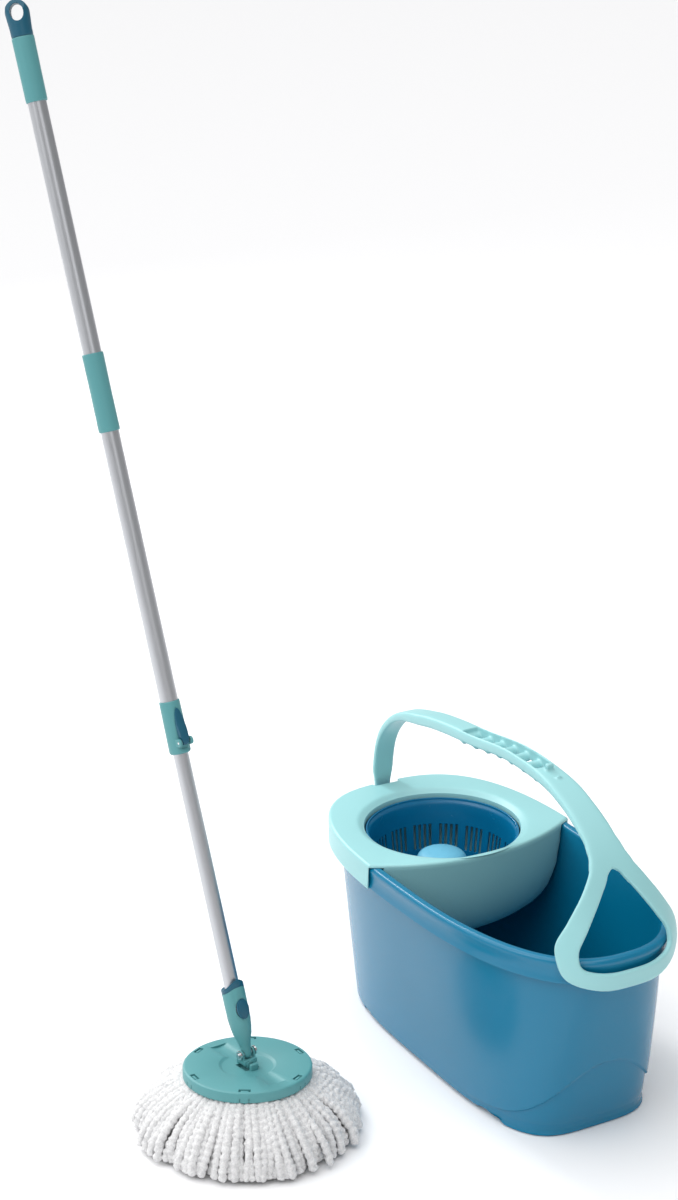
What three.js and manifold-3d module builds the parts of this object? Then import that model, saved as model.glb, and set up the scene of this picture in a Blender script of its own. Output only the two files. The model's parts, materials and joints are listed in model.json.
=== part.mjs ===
// Spin mop set: an oval bucket with a lift-out spin basket and a swinging carry handle, and a
// two-stage telescopic mop with a swivelling disc head.  Millimetres, +Z up.
import * as THREE from 'three';
import { mergeVertices } from 'three/addons/utils/BufferGeometryUtils.js';
import Module from 'manifold-3d';

const wasm = await Module();
wasm.setup();

// ---------- driving dimensions ----------
const gap = 0.3; // clearance between pieces that touch
const ringPoints = 48; // points round the bucket and insert
const roundSides = 20; // sides of tubes and sleeves

// bucket: oval plan, tapering down to its base
const bucketHeight = 256;
const rimOval = { centre: 6, halfLength: 284, halfWidth: 147, front: 2.5, rear: 2.8, taper: 0.045 };
const baseOval = { centre: 3, halfLength: 236, halfWidth: 111, front: 3.3, rear: 3.3, taper: 0 };
const bucketWall = 2.5;
const lipOverhang = 10;
const lipDrop = 30;
const floorHeight = 5.5;
const footRise = 3;
const footWidth = 13;
const footNotchLength = 292;

// insert: top plate and skirt over the rear rim, with a bowl hanging into the bucket
const basketCentre = -130;
const plateThickness = 3.6;
const skirtWall = 2.6;
const bowlWall = 2.6;
const bowlDepth = 132;
const bowlRoundness = 3.2;
const bowlClearance = 1.5;
const frontArcRadius = 277;
const frontReach = 113; // basket centre to the insert's front edge
const openingRadius = 102;
const funnelRadius = 112;
const collarDepth = 10;
const bossRadius = 13;
const bossTop = 142;
const drainHoles = 4;

// spin basket
const basketFloor = 149;
const basketRim = 250;
const basketRimRadius = openingRadius - 2;
const basketWall = 2.5;
const basketSides = 36;
const slotGroups = 16;
const slotsPerGroup = 4;
const slotWidth = 3.2;
const slotBottom = 180;
const slotTop = 214;
const axleRadius = 4;
const bushRadius = 7;
const hubRadius = 35;
const hubTop = 218.5;

// carry handle: a strap from the rear pivot, a slotted grip and a loop round the front lip
const rimRear = rimOval.centre - rimOval.halfLength;
const rimFront = rimOval.centre + rimOval.halfLength;
const pivot = { x: rimRear - 9, z: bucketHeight - 18 };
const pivotPinRadius = 2.5;
const strapThickness = 7;
const loopBand = 22;
const loopClearance = 2;
const lugThickness = 5.2;
const lugInner = 13.3;
const gripSlots = 6;
const gripSlotLength = 22;
const gripRib = 6;
const gripSlotHalfWidth = 11.5;
const gripDepth = 16;
const gripStart = 330; // along the strap from the pivot

// mop head
const headCentre = new THREE.Vector3(29, -370, 85); // middle of the disc's top
const headTilt = THREE.MathUtils.degToRad(3.8);
const headTiltAzimuth = THREE.MathUtils.degToRad(150.8);
const troughAzimuth = THREE.MathUtils.degToRad(7.3);
const discRadius = 78.5;
const discHeight = 13;
const discWall = 2.6;
const discTop = 3.2;
const dishRadius = 35;
const dishDepth = 2.6;
const troughRadius = 30;
const troughHalfWidth = 12.4;
const troughHalfLength = 63;
const latchCount = 6;
const latchRadius = 71;
const strandRadius = 130;
const strandHoleRadius = 40;

// universal joint between disc and stick
const blockPinHeight = 2; // above the disc's top
const crossHeight = 13; // block pin to swivel pin
const blockPinRadius = 2.4;
const swivelPinRadius = 3;
const blockHalfLength = 9;
const tongueHalf = 6.4;
const tongueRound = 6.2;
const earOuter = 9;
const stickLean = new THREE.Vector3(-0.291, -0.073, 0.954).normalize();

// stick, as distances along it from the swivel pin
const sleeveTop = 84;
const collarTop = 94.5;
const scoopX = -4; // scooped upper end of the sleeve, and the collar's own scoop above it
const scoopBottom = 77.5;
const scoopRadius = 26;
const collarScoop = { x: -7, bottom: 81.8, radius: 25 };
const sleeveRadius = 14.2;
const buttonHeight = 57;
const buttonTravel = 2.2;
const lowerTubeRadius = 9.25;
const tubeWall = 1;
const lowerTubeBottom = 27;
const lowerTubeTop = 470;
const mainTubeRadius = 11;
const lockBottom = 375;
const lockTop = 439;
const lockRadius = 12.7;
const mainTubeTop = 810;
const middleGripBottom = 765;
const middleGripTop = 858;
const middleGripRadius = 12.7;
const upperTubeTop = 1215;
const topGripBottom = 1153;
const topGripTop = 1228;
const topGripRadius = 13.2;
const stickLength = 1271;
const spindleSide = 6.4;
const spindleBottom = 430;
const spindleTop = 662;
const spindlePitch = 60;

// ---------- materials ----------
function plastic(name, colour, roughness) {
  return new THREE.MeshStandardMaterial({ name, color: colour, roughness, metalness: 0 });
}

function metal(name, colour, roughness) {
  return new THREE.MeshStandardMaterial({ name, color: colour, roughness, metalness: 1 });
}

const paleMint = () => plastic('pale_mint', 0x9fdcde, 0.42);
const midMint = () => plastic('mid_mint', 0x6fb7b9, 0.45);
const bucketBlue = () => plastic('bucket_blue', 0x2f86ac, 0.4);
const deepBlue = () => plastic('deep_blue', 0x0b6a96, 0.35);
const skyBlue = () => plastic('sky_blue', 0x7cc4e0, 0.45);
const petrol = () => plastic('petrol', 0x1f5e78, 0.4);
const innerGrey = () => plastic('inner_grey', 0xb9bcbe, 0.55);
const aluminium = () => metal('aluminium', 0xc9ccd0, 0.3);
const steel = () => metal('steel', 0xd6d8da, 0.15);
const yarn = () => plastic('yarn', 0xf2f2f2, 0.95);

// ---------- solids ----------
const mergeDistance = 1e-4;

function signedVolume(positions, index) {
  const [a, b, c] = [new THREE.Vector3(), new THREE.Vector3(), new THREE.Vector3()];
  let six = 0;
  for (let i = 0; i < index.length; i += 3) {
    a.fromArray(positions, 3 * index[i]);
    b.fromArray(positions, 3 * index[i + 1]);
    c.fromArray(positions, 3 * index[i + 2]);
    six += a.dot(b.cross(c));
  }
  return six / 6;
}

// A closed geometry with shared corners merged and every face pointing out.
function closed(geometry) {
  const bare = geometry.clone();
  bare.deleteAttribute('normal');
  bare.deleteAttribute('uv');
  const merged = mergeVertices(bare, mergeDistance);
  const index = merged.index.array;
  const kept = [];
  for (let i = 0; i < index.length; i += 3) {
    const [p, q, r] = index.slice(i, i + 3);
    if (p !== q && q !== r && r !== p) kept.push(p, q, r);
  }
  if (signedVolume(merged.attributes.position.array, kept) < 0) kept.reverse();
  merged.setIndex(kept);
  return merged;
}

function toSolid(geometry) {
  const clean = closed(geometry);
  const vertProperties = new Float32Array(clean.attributes.position.array);
  const triVerts = new Uint32Array(clean.index.array);
  return new wasm.Manifold(new wasm.Mesh({ numProp: 3, vertProperties, triVerts }));
}

function toGeometry(solid) {
  const mesh = solid.getMesh();
  const geometry = new THREE.BufferGeometry();
  geometry.setAttribute('position', new THREE.BufferAttribute(new Float32Array(mesh.vertProperties), 3));
  geometry.setIndex(Array.from(mesh.triVerts));
  geometry.computeVertexNormals();
  return geometry;
}

// Skin over closed rings of equal point count.  Ends are fanned to a point, or the last ring
// is joined back to the first.
function loft(rings, ends) {
  const count = rings[0].length;
  const corners = rings.flat().map((p) => p.toArray()).flat();
  const index = [];
  const spans = ends ? rings.length - 1 : rings.length;
  for (let i = 0; i < spans; i += 1) {
    const here = i * count;
    const next = ((i + 1) % rings.length) * count;
    for (let j = 0; j < count; j += 1) {
      const k = (j + 1) % count;
      index.push(here + j, here + k, next + k, here + j, next + k, next + j);
    }
  }
  if (ends) {
    const first = corners.length / 3;
    corners.push(...ends[0].toArray(), ...ends[1].toArray());
    const lastRing = (rings.length - 1) * count;
    for (let j = 0; j < count; j += 1) {
      const k = (j + 1) % count;
      index.push(first, k, j, first + 1, lastRing + j, lastRing + k);
    }
  }
  const geometry = new THREE.BufferGeometry();
  geometry.setAttribute('position', new THREE.Float32BufferAttribute(corners, 3));
  geometry.setIndex(index);
  return geometry;
}

function middleOf(ring) {
  const sum = ring.reduce((total, p) => total.add(p), new THREE.Vector3());
  return sum.divideScalar(ring.length);
}

// Profile of [radius, height] pairs turned about Z.
function turned(profile, sides = roundSides) {
  const points = profile.map(([r, z]) => new THREE.Vector2(r, z));
  const axisToAxis = profile[0][0] === 0 && profile[profile.length - 1][0] === 0;
  if (!axisToAxis) points.push(points[0].clone());
  return closed(new THREE.LatheGeometry(points, sides).rotateX(Math.PI / 2));
}

function tube(inner, outer, bottom, top, sides = roundSides) {
  return turned([[inner, bottom], [outer, bottom], [outer, top], [inner, top]], sides);
}

function rod(radius, bottom, top, sides = roundSides) {
  return turned([[0, bottom], [radius, bottom], [radius, top], [0, top]], sides);
}

function box(x0, x1, y0, y1, z0, z1) {
  const geometry = new THREE.BoxGeometry(x1 - x0, y1 - y0, z1 - z0);
  return geometry.translate((x0 + x1) / 2, (y0 + y1) / 2, (z0 + z1) / 2);
}

const alongX = (geometry) => geometry.rotateY(Math.PI / 2);
const alongY = (geometry) => geometry.rotateX(-Math.PI / 2);

const set = new THREE.Group();

function addPart(name, geometry, material, parent = set) {
  const mesh = new THREE.Mesh(geometry, material);
  mesh.name = name;
  parent.add(mesh);
  return mesh;
}

// ---------- ovals ----------
function mixOval(low, high, share) {
  const oval = {};
  for (const key of Object.keys(low)) oval[key] = THREE.MathUtils.lerp(low[key], high[key], share);
  return oval;
}

function insetOval(oval, inset) {
  return { ...oval, halfLength: oval.halfLength - inset, halfWidth: oval.halfWidth - inset };
}

function ovalPoint(oval, angle) {
  const across = Math.cos(angle);
  const side = Math.sin(angle);
  const power = 2 / (across > 0 ? oval.front : oval.rear);
  const x = oval.halfLength * Math.sign(across) * Math.abs(across) ** power;
  const width = oval.halfWidth * (1 - (oval.taper * x) / oval.halfLength);
  return new THREE.Vector2(oval.centre + x, width * Math.sign(side) * Math.abs(side) ** power);
}

function insideOval(oval, x, y) {
  const along = (x - oval.centre) / oval.halfLength;
  const power = along > 0 ? oval.front : oval.rear;
  const width = oval.halfWidth * (1 - oval.taper * along);
  return Math.abs(along) ** power + Math.abs(y / width) ** power < 1;
}

// Distance from the basket's axis to an oval, in the direction of an angle.
function ovalReach(oval, angle) {
  let [near, far] = [0, 600];
  for (let i = 0; i < 40; i += 1) {
    const middle = (near + far) / 2;
    const x = basketCentre + middle * Math.cos(angle);
    if (insideOval(oval, x, middle * Math.sin(angle))) near = middle;
    else far = middle;
  }
  return near;
}

function ovalRing(oval, z, count = ringPoints) {
  return Array.from({ length: count }, (_, i) => {
    const p = ovalPoint(oval, (2 * Math.PI * i) / count);
    return new THREE.Vector3(p.x, p.y, z);
  });
}

const wallTopOval = insetOval(rimOval, lipOverhang);

function wallRing(z, inset) {
  return ovalRing(insetOval(mixOval(baseOval, wallTopOval, z / bucketHeight), inset), z);
}

// ---------- bucket ----------
function makeBucket() {
  const lipInside = insetOval(rimOval, bucketWall);
  const lipBottom = bucketHeight - lipDrop;
  const rings = [
    wallRing(footRise, footWidth + 4),
    wallRing(0, footWidth + 3),
    wallRing(0, 3),
    wallRing(0.9, 0.9),
    wallRing(4, 0),
    wallRing(bucketHeight / 2, 0),
    wallRing(bucketHeight - 3.5, 0),
    ovalRing(lipInside, bucketHeight - 3.5),
    ovalRing(lipInside, lipBottom),
    ovalRing(rimOval, lipBottom),
    ovalRing(rimOval, bucketHeight - 5),
    ovalRing(insetOval(rimOval, 1.5), bucketHeight - 1.5),
    ovalRing(insetOval(rimOval, 5), bucketHeight),
    wallRing(bucketHeight, bucketWall - 1.5),
    wallRing(bucketHeight - 1.5, bucketWall),
    wallRing(bucketHeight / 2, bucketWall),
    wallRing(floorHeight + 10, bucketWall),
    wallRing(floorHeight + 3, bucketWall + 3),
    wallRing(floorHeight, bucketWall + 10),
  ];
  const ends = [new THREE.Vector3(0, 0, footRise), new THREE.Vector3(0, 0, floorHeight)];
  let solid = toSolid(loft(rings, ends));
  const half = footNotchLength / 2;
  solid = solid.subtract(toSolid(box(-half, half, -200, 200, -1, footRise - 0.01)));
  for (const side of [-1, 1]) {
    const [y0, y1] = [side * lugInner, side * (lugInner + lugThickness)].sort((a, b) => a - b);
    const lug = toSolid(box(pivot.x - 7, rimRear + 2, y0, y1, pivot.z - 9, pivot.z + 9));
    solid = solid.add(lug);
  }
  const pinHole = alongY(rod(pivotPinRadius + gap, -25, 25, 16)).translate(pivot.x, 0, pivot.z);
  return toGeometry(solid.subtract(toSolid(pinHole)));
}

addPart('bucket', makeBucket(), bucketBlue());

// ---------- insert ----------
const frontArcCentre = basketCentre + frontReach - frontArcRadius;

function frontArcReach(angle) {
  const offset = basketCentre - frontArcCentre;
  const side = offset * Math.sin(angle);
  return Math.sqrt(frontArcRadius ** 2 - side ** 2) - offset * Math.cos(angle);
}

// Ring of the bowl at a depth below the rim, a wall inside its outer face.
function bowlRing(depth, wall) {
  const z = bucketHeight - depth;
  const inside = insetOval(mixOval(baseOval, wallTopOval, z / bucketHeight), bucketWall + bowlClearance);
  const share = THREE.MathUtils.clamp(depth / (bowlDepth - wall), 0, 0.999);
  const shrink = (1 - share ** bowlRoundness) ** (1 / bowlRoundness);
  return Array.from({ length: ringPoints }, (_, i) => {
    const angle = (2 * Math.PI * i) / ringPoints;
    const reach = (Math.min(frontArcReach(angle), ovalReach(inside, angle)) - wall) * shrink;
    return new THREE.Vector3(basketCentre + reach * Math.cos(angle), reach * Math.sin(angle), z);
  });
}

function bowlSolid(top, wall) {
  const depths = [top, 30, 62, 90, 110, 122, 129].map((d) => Math.min(d, bowlDepth - wall - 1));
  const rings = depths.map((depth) => bowlRing(depth, wall));
  const bottom = new THREE.Vector3(basketCentre, 0, bucketHeight - bowlDepth + wall);
  return toSolid(loft(rings, [middleOf(rings[0]), bottom]));
}

function makeInsert() {
  const plateBottom = bucketHeight + gap;
  const plateTop = plateBottom + plateThickness;
  const skirtBottom = bucketHeight - lipDrop;
  const outer = insetOval(rimOval, -gap - skirtWall);
  const capRings = [
    ovalRing(outer, skirtBottom),
    ovalRing(outer, plateTop - 3),
    ovalRing(insetOval(outer, 1), plateTop - 1),
    ovalRing(insetOval(outer, 3), plateTop),
  ];
  const lipOutline = insetOval(rimOval, -gap);
  const lipRoom = [ovalRing(lipOutline, skirtBottom - 1), ovalRing(lipOutline, plateBottom)];
  let solid = toSolid(loft(capRings, [middleOf(capRings[0]), middleOf(capRings[3])]));
  solid = solid.subtract(toSolid(loft(lipRoom, lipRoom.map(middleOf))));
  const arc = rod(frontArcRadius, skirtBottom - 5, plateTop + 5, 96).translate(frontArcCentre, 0, 0);
  solid = solid.intersect(toSolid(arc));
  solid = solid.add(bowlSolid(-gap - 0.5, 0));
  solid = solid.subtract(bowlSolid(-gap, bowlWall));
  const collarBottom = plateTop - 3 - collarDepth;
  const collar = turned(
    [[openingRadius - 1, collarBottom], [openingRadius + bowlWall, collarBottom],
      [openingRadius + bowlWall, plateTop - 8], [funnelRadius + 2, plateTop - plateThickness + 0.5],
      [openingRadius - 1, plateTop - 1.5]],
    ringPoints,
  );
  solid = solid.add(toSolid(collar.translate(basketCentre, 0, 0)));
  const boss = rod(bossRadius, bucketHeight - bowlDepth + 1, bossTop, 24).translate(basketCentre, 0, 0);
  solid = solid.add(toSolid(boss));
  const funnel = turned(
    [[0, collarBottom - 1], [openingRadius, collarBottom - 1], [openingRadius, plateTop - 5],
      [funnelRadius, plateTop], [funnelRadius, plateTop + 1], [0, plateTop + 1]],
    ringPoints,
  );
  solid = solid.subtract(toSolid(funnel.translate(basketCentre, 0, 0)));
  const boreBottom = bucketHeight - bowlDepth + 4;
  const bore = rod(axleRadius + gap, boreBottom, bossTop + 1, 16).translate(basketCentre, 0, 0);
  solid = solid.subtract(toSolid(bore));
  for (let i = 0; i < drainHoles; i += 1) {
    const angle = ((i + 0.5) * 2 * Math.PI) / drainHoles;
    const hole = rod(4, bucketHeight - bowlDepth - 5, bossTop, 10);
    hole.translate(basketCentre + 32 * Math.cos(angle), 32 * Math.sin(angle), 0);
    solid = solid.subtract(toSolid(hole));
  }
  const strapNotch = lugInner + lugThickness + 1;
  solid = solid.subtract(toSolid(box(rimRear - 20, rimRear + 4, -strapNotch, strapNotch, 200, plateTop + 5)));
  return toGeometry(solid);
}

addPart('basket_insert', makeInsert(), paleMint());

// ---------- spin basket, turned about its own axis ----------
const basketGroup = new THREE.Group();
basketGroup.position.set(basketCentre, 0, 0);
set.add(basketGroup);

function makeBasket() {
  const inner = bushRadius + gap;
  const rim = basketRimRadius;
  const lip = basketRimRadius - basketWall;
  const shell = [
    [inner, basketFloor], [rim - 36, basketFloor], [rim - 21, 151.5], [rim - 14, 158], [rim - 10.8, 172],
    [rim - 3.2, 241], [rim, 245], [rim, basketRim], [lip, basketRim], [lip, 246], [lip - 3.1, 241],
    [lip - 10.7, 172], [lip - 13.6, 160], [lip - 19.9, 154], [rim - 36, basketFloor + basketWall],
    [12, basketFloor + basketWall], [12, 171], [inner, 171],
  ];
  let solid = toSolid(turned(shell, basketSides));
  const groupStep = (2 * Math.PI) / slotGroups;
  const slotStep = groupStep * 0.19;
  for (let group = 0; group < slotGroups; group += 1) {
    for (let slot = 0; slot < slotsPerGroup; slot += 1) {
      const cutter = box(rim - 16, rim, -slotWidth / 2, slotWidth / 2, slotBottom, slotTop);
      cutter.rotateZ(group * groupStep + (slot - (slotsPerGroup - 1) / 2) * slotStep);
      solid = solid.subtract(toSolid(cutter));
    }
  }
  return toGeometry(solid);
}

const hubShell = [
  [hubRadius - 1.5, basketFloor + basketWall + gap], [hubRadius, 160], [34, 200], [29.5, 211.5], [18, 217],
  [0, hubTop], [0, hubTop - 2.5], [17, 214.5], [27.5, 209.5], [31.5, 199],
  [32, basketFloor + basketWall + gap],
];
const bushTop = 171.5;
const axleShape = [
  [0, bucketHeight - bowlDepth + 4 + gap], [axleRadius, bucketHeight - bowlDepth + 4 + gap],
  [axleRadius, bushTop + gap], [3, bushTop + gap], [3, 173.8], [axleRadius, 173.8], [axleRadius, 178],
  [0, 179],
];
const bushShape = [
  [axleRadius + gap, bossTop + 3.5], [11, bossTop + 3.5], [11, basketFloor - gap],
  [bushRadius, basketFloor - gap], [bushRadius, bushTop], [axleRadius + gap, bushTop],
];
addPart('spin_basket', makeBasket(), deepBlue(), basketGroup);
addPart('basket_hub', turned(hubShell), skyBlue(), basketGroup);
addPart('basket_axle', turned(axleShape, 16), steel(), basketGroup);
addPart('basket_bush', turned(bushShape, 16), innerGrey(), basketGroup);
addPart('thrust_washer', tube(axleRadius + gap, 10, bossTop + gap, bossTop + 3.2, 16), steel(), basketGroup);
addPart('axle_clip', tube(3 + gap, 8, bushTop + 2 * gap, 173.4, 16), steel(), basketGroup);

// ---------- carry handle ----------
const lipOffset = loopClearance + strapThickness / 2;
const nose = rimFront + lipOffset;
// how far along from pivot to nose, and how high above the rim
const handleStations = [
  [0, -18], [0.002, 6], [0.004, 29], [0.017, 65], [0.043, 92], [0.101, 120], [0.209, 140], [0.294, 149],
  [0.417, 157], [0.573, 168], [0.725, 161], [0.836, 135], [0.91, 101], [0.96, 49], [0.994, 9],
  [1, -6], [1, -24], [1, -44],
];
const handlePath = new THREE.CatmullRomCurve3(
  handleStations.map(([share, rise]) => {
    const x = THREE.MathUtils.lerp(pivot.x, nose, share);
    return new THREE.Vector3(x, 0, bucketHeight + rise);
  }),
  false,
  'centripetal',
);
handlePath.arcLengthDivisions = 800;
const handleLength = handlePath.getLength();

// Half width and depth of the strap and stem at distances along them.
const strapWidths = [
  [0, 11.5], [16, 11.5], [42, 15], [260, 15], [400, 15.5], [490, 16.5], [560, 19.5], [640, 22.5], [690, 26],
];
const strapDepths = [
  [0, strapThickness], [60, strapThickness], [130, 10], [230, gripDepth], [480, gripDepth],
  [560, 11], [640, 8], [690, strapThickness],
];

function distanceAtHeight(z) {
  let [top, bottom] = [handleLength * 0.7, handleLength];
  for (let i = 0; i < 40; i += 1) {
    const middle = (top + bottom) / 2;
    if (handlePath.getPointAt(middle / handleLength).z > z) top = middle;
    else bottom = middle;
  }
  return top;
}

const holeTop = distanceAtHeight(bucketHeight + 101);

function valueAt(stations, distance) {
  const after = stations.findIndex(([station]) => station > distance);
  if (after < 0) return stations[stations.length - 1][1];
  const [s0, v0] = stations[after - 1];
  const [s1, v1] = stations[after];
  return THREE.MathUtils.lerp(v0, v1, THREE.MathUtils.smoothstep(distance, s0, s1));
}

// Plan curve that runs a little outside the front lip: how far it falls back at a side distance.
const lipCurve = Array.from({ length: 181 }, (_, i) => {
  const angle = (i * Math.PI) / 360;
  const here = ovalPoint(rimOval, angle);
  const ahead = ovalPoint(rimOval, angle + 0.002);
  const along = ahead.clone().sub(here).normalize();
  return new THREE.Vector2(here.x + along.y * lipOffset, here.y - along.x * lipOffset);
});

function fallBack(side) {
  const after = Math.max(1, lipCurve.findIndex((p) => p.y > Math.abs(side)));
  const [a, b] = [lipCurve[after - 1], lipCurve[after]];
  const share = (Math.abs(side) - a.y) / (b.y - a.y);
  return lipCurve[0].x - THREE.MathUtils.lerp(a.x, b.x, THREE.MathUtils.clamp(share, 0, 1));
}

// Point of the handle's sheet: a distance along it, a distance to the side and a height off it.
function sheetPoint(distance, side, height) {
  const place = (s, v) => {
    const p = handlePath.getPointAt(THREE.MathUtils.clamp(s / handleLength, 0, 1));
    const share = THREE.MathUtils.smoothstep(s, holeTop - 90, holeTop + 95);
    return new THREE.Vector3(p.x - share * fallBack(v), v, p.z);
  };
  const step = 0.5;
  const along = place(distance + step, side).sub(place(distance - step, side));
  const across = place(distance, side + step).sub(place(distance, side - step));
  const normal = along.cross(across).normalize();
  return place(distance, side).addScaledVector(normal, height);
}

// Eight corners of a bar with chamfered edges, as [sideways, height] pairs.
// The depth is taken from the outer face.
function barSection(halfWidth, depth) {
  const edge = 1.4;
  const high = strapThickness / 2;
  const low = high - depth;
  return [
    [halfWidth, low + edge], [halfWidth, high - edge], [halfWidth - edge, high], [edge - halfWidth, high],
    [-halfWidth, high - edge], [-halfWidth, low + edge], [edge - halfWidth, low], [halfWidth - edge, low],
  ];
}

function makeStrap() {
  const end = holeTop - 9;
  const steps = 40;
  const rings = Array.from({ length: steps + 1 }, (_, i) => {
    const distance = 1 + ((end - 1) * i) / steps;
    const section = barSection(valueAt(strapWidths, distance), valueAt(strapDepths, distance));
    return section.map(([side, height]) => sheetPoint(distance, side, height));
  });
  return toSolid(loft(rings, [middleOf(rings[0]), middleOf(rings[steps])]));
}

function makeLoop() {
  const right = [[14, 2], [36, 36], [58, 70], [74, 101], [69, 127], [42, 138]];
  const left = right.map(([side, down]) => [-side, down]).reverse();
  const points = [[0, -9], ...right, [0, 140], ...left].map(([v, s]) => new THREE.Vector3(v, s, 0));
  const path = new THREE.CatmullRomCurve3(points, true, 'centripetal');
  const steps = 40;
  const rings = Array.from({ length: steps }, (_, i) => {
    const middle = path.getPointAt(i / steps);
    const along = path.getTangentAt(i / steps);
    return barSection(loopBand / 2, strapThickness).map(([out, height]) => {
      const side = middle.x + out * along.y;
      const down = middle.y - out * along.x;
      return sheetPoint(holeTop + down, side, height);
    });
  });
  return toSolid(loft(rings, null));
}

function sheetBlock(from, to, halfWidth, low, high) {
  const corners = [[-halfWidth, low], [halfWidth, low], [halfWidth, high], [-halfWidth, high]];
  const rings = [from, to].map((s) => corners.map(([side, height]) => sheetPoint(s, side, height)));
  return toSolid(loft(rings, rings.map(middleOf)));
}

function makeHandle() {
  let solid = makeStrap().add(makeLoop());
  const eye = alongY(rod(6.5, -11.5, 11.5, 20)).translate(pivot.x, 0, pivot.z);
  solid = solid.add(toSolid(eye));
  const step = gripSlotLength + gripRib;
  for (let i = 0; i < gripSlots; i += 1) {
    const from = gripStart + i * step;
    solid = solid.subtract(sheetBlock(from, from + gripSlotLength, gripSlotHalfWidth, -gripDepth - 4, 12));
    const rib = from - gripRib / 2;
    const ribBottom = strapThickness / 2 - gripDepth - 2.5;
    solid = solid.add(sheetBlock(rib - 2.5, rib + 2.5, gripSlotHalfWidth - 1, ribBottom, 0));
  }
  const hook = gripStart + gripSlots * step + 3;
  solid = solid.add(sheetBlock(hook, hook + 7, 5, 0, strapThickness / 2 + 8));
  const pinHole = alongY(rod(pivotPinRadius + gap, -25, 25, 16)).translate(pivot.x, 0, pivot.z);
  return toGeometry(solid.subtract(toSolid(pinHole)));
}

const pivotPin = alongY(rod(pivotPinRadius, -lugInner - lugThickness, lugInner + lugThickness, 16));
addPart('bucket_handle', makeHandle(), paleMint());
addPart('handle_pivot_pin', pivotPin.translate(pivot.x, 0, pivot.z), steel());

// ---------- mop head ----------
const headGroup = new THREE.Group();
headGroup.position.copy(headCentre);
const headUp = new THREE.Vector3(
  Math.sin(headTilt) * Math.cos(headTiltAzimuth),
  Math.sin(headTilt) * Math.sin(headTiltAzimuth),
  Math.cos(headTilt),
);
const up = new THREE.Vector3(0, 0, 1);
headGroup.quaternion.setFromUnitVectors(up, headUp);
headGroup.quaternion.multiply(new THREE.Quaternion().setFromAxisAngle(up, troughAzimuth));
set.add(headGroup);

const pocketDepth = 7.5;
const latchAngle = (i) => ((i + 0.5) * 2 * Math.PI) / latchCount - troughAzimuth;

function makeDisc() {
  const underside = -discTop;
  const profile = [
    [0, 0], [discRadius - 3, 0], [discRadius - 0.9, -0.9], [discRadius, -3], [discRadius, -discHeight],
    [discRadius - discWall, -discHeight], [discRadius - discWall, underside - 1.5],
    [discRadius - discWall - 2, underside], [30, underside - 2.2],
    [24, -pocketDepth - 2.5], [0, -pocketDepth - 2.5],
  ];
  let solid = toSolid(turned(profile, ringPoints));
  const dishProfile = [
    [0, -dishDepth], [dishRadius - 4, -dishDepth], [dishRadius, 0], [dishRadius, 1], [0, 1],
  ];
  const dish = turned(dishProfile, 32);
  solid = solid.subtract(toSolid(dish));
  const troughAxis = Math.sqrt(troughRadius ** 2 - troughHalfWidth ** 2);
  const trough = alongX(rod(troughRadius, -troughHalfLength, troughHalfLength, 40));
  trough.translate(0, 0, troughAxis);
  solid = solid.subtract(toSolid(trough));
  const pocketX = blockHalfLength + 2;
  const pocketY = earOuter + 1.2;
  solid = solid.subtract(toSolid(box(-pocketX, pocketX, -pocketY, pocketY, -pocketDepth, 2)));
  for (const side of [-1, 1]) {
    const [x0, x1] = [side * (pocketX - 0.2), side * (pocketX + 5)].sort((a, b) => a - b);
    const cradle = toSolid(box(x0, x1, -5.5, 5.5, -4, blockPinHeight + 3.6));
    solid = solid.add(cradle);
  }
  const pinHole = alongX(rod(blockPinRadius + gap, -pocketX - 6, pocketX + 6, 16));
  pinHole.translate(0, 0, blockPinHeight);
  solid = solid.subtract(toSolid(pinHole));
  for (let i = 0; i < latchCount; i += 1) {
    const slot = box(latchRadius - 2.2, latchRadius + 2.2, -5.5, 5.5, -8, 1).rotateZ(latchAngle(i));
    solid = solid.subtract(toSolid(slot));
  }
  return toGeometry(solid);
}

const ringTop = -discTop - 1.6;

function makeStrandRing() {
  const outer = discRadius - discWall - gap;
  const profile = [
    [44, ringTop - 3.4], [outer, -discHeight - 3], [outer, ringTop - 1], [outer - 2, ringTop],
    [46, ringTop - 0.6],
  ];
  let solid = toSolid(turned(profile, 32));
  for (let i = 0; i < latchCount; i += 1) {
    const latch = box(latchRadius - 1.3, latchRadius + 1.3, -4.5, 4.5, ringTop - 2, -0.8);
    latch.rotateZ(latchAngle(i));
    solid = solid.add(toSolid(latch));
  }
  return toGeometry(solid);
}

// Skirt of strands: from under the disc's edge down to the ground ring.
function makeStrands() {
  const sides = 32;
  headGroup.updateMatrix();
  const ring = (radius, drop, ground, share, bulge) => Array.from({ length: sides }, (_, i) => {
    const angle = (2 * Math.PI * i) / sides;
    const direction = new THREE.Vector3(Math.cos(angle), Math.sin(angle), 0);
    const high = direction.clone().multiplyScalar(radius).setZ(drop).applyMatrix4(headGroup.matrix);
    const middle = new THREE.Vector3(headCentre.x, headCentre.y, 0);
    const low = direction.clone().multiplyScalar(ground).add(middle);
    const point = high.lerp(low, share);
    return point.addScaledVector(direction, bulge);
  });
  const underRing = -discHeight - 3.4;
  const rings = [
    ring(strandHoleRadius, underRing, strandHoleRadius + 14, 0, 0),
    ring(discRadius - discWall - 3, underRing, strandRadius, 0, 0),
    ring(discRadius + 4, underRing, strandRadius, 0.05, 2),
    ring(discRadius + 3, underRing, strandRadius, 0.3, 14),
    ring(discRadius, underRing, strandRadius, 0.6, 19),
    ring(discRadius, underRing, strandRadius, 0.82, 14),
    ring(discRadius, underRing, strandRadius, 0.96, 7),
    ring(discRadius, underRing, strandRadius, 1, 0),
    ring(strandHoleRadius, underRing, strandHoleRadius + 14, 1, 0),
    ring(strandHoleRadius, underRing, strandHoleRadius + 14, 0.5, 0),
  ];
  return closed(loft(rings, null));
}

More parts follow.
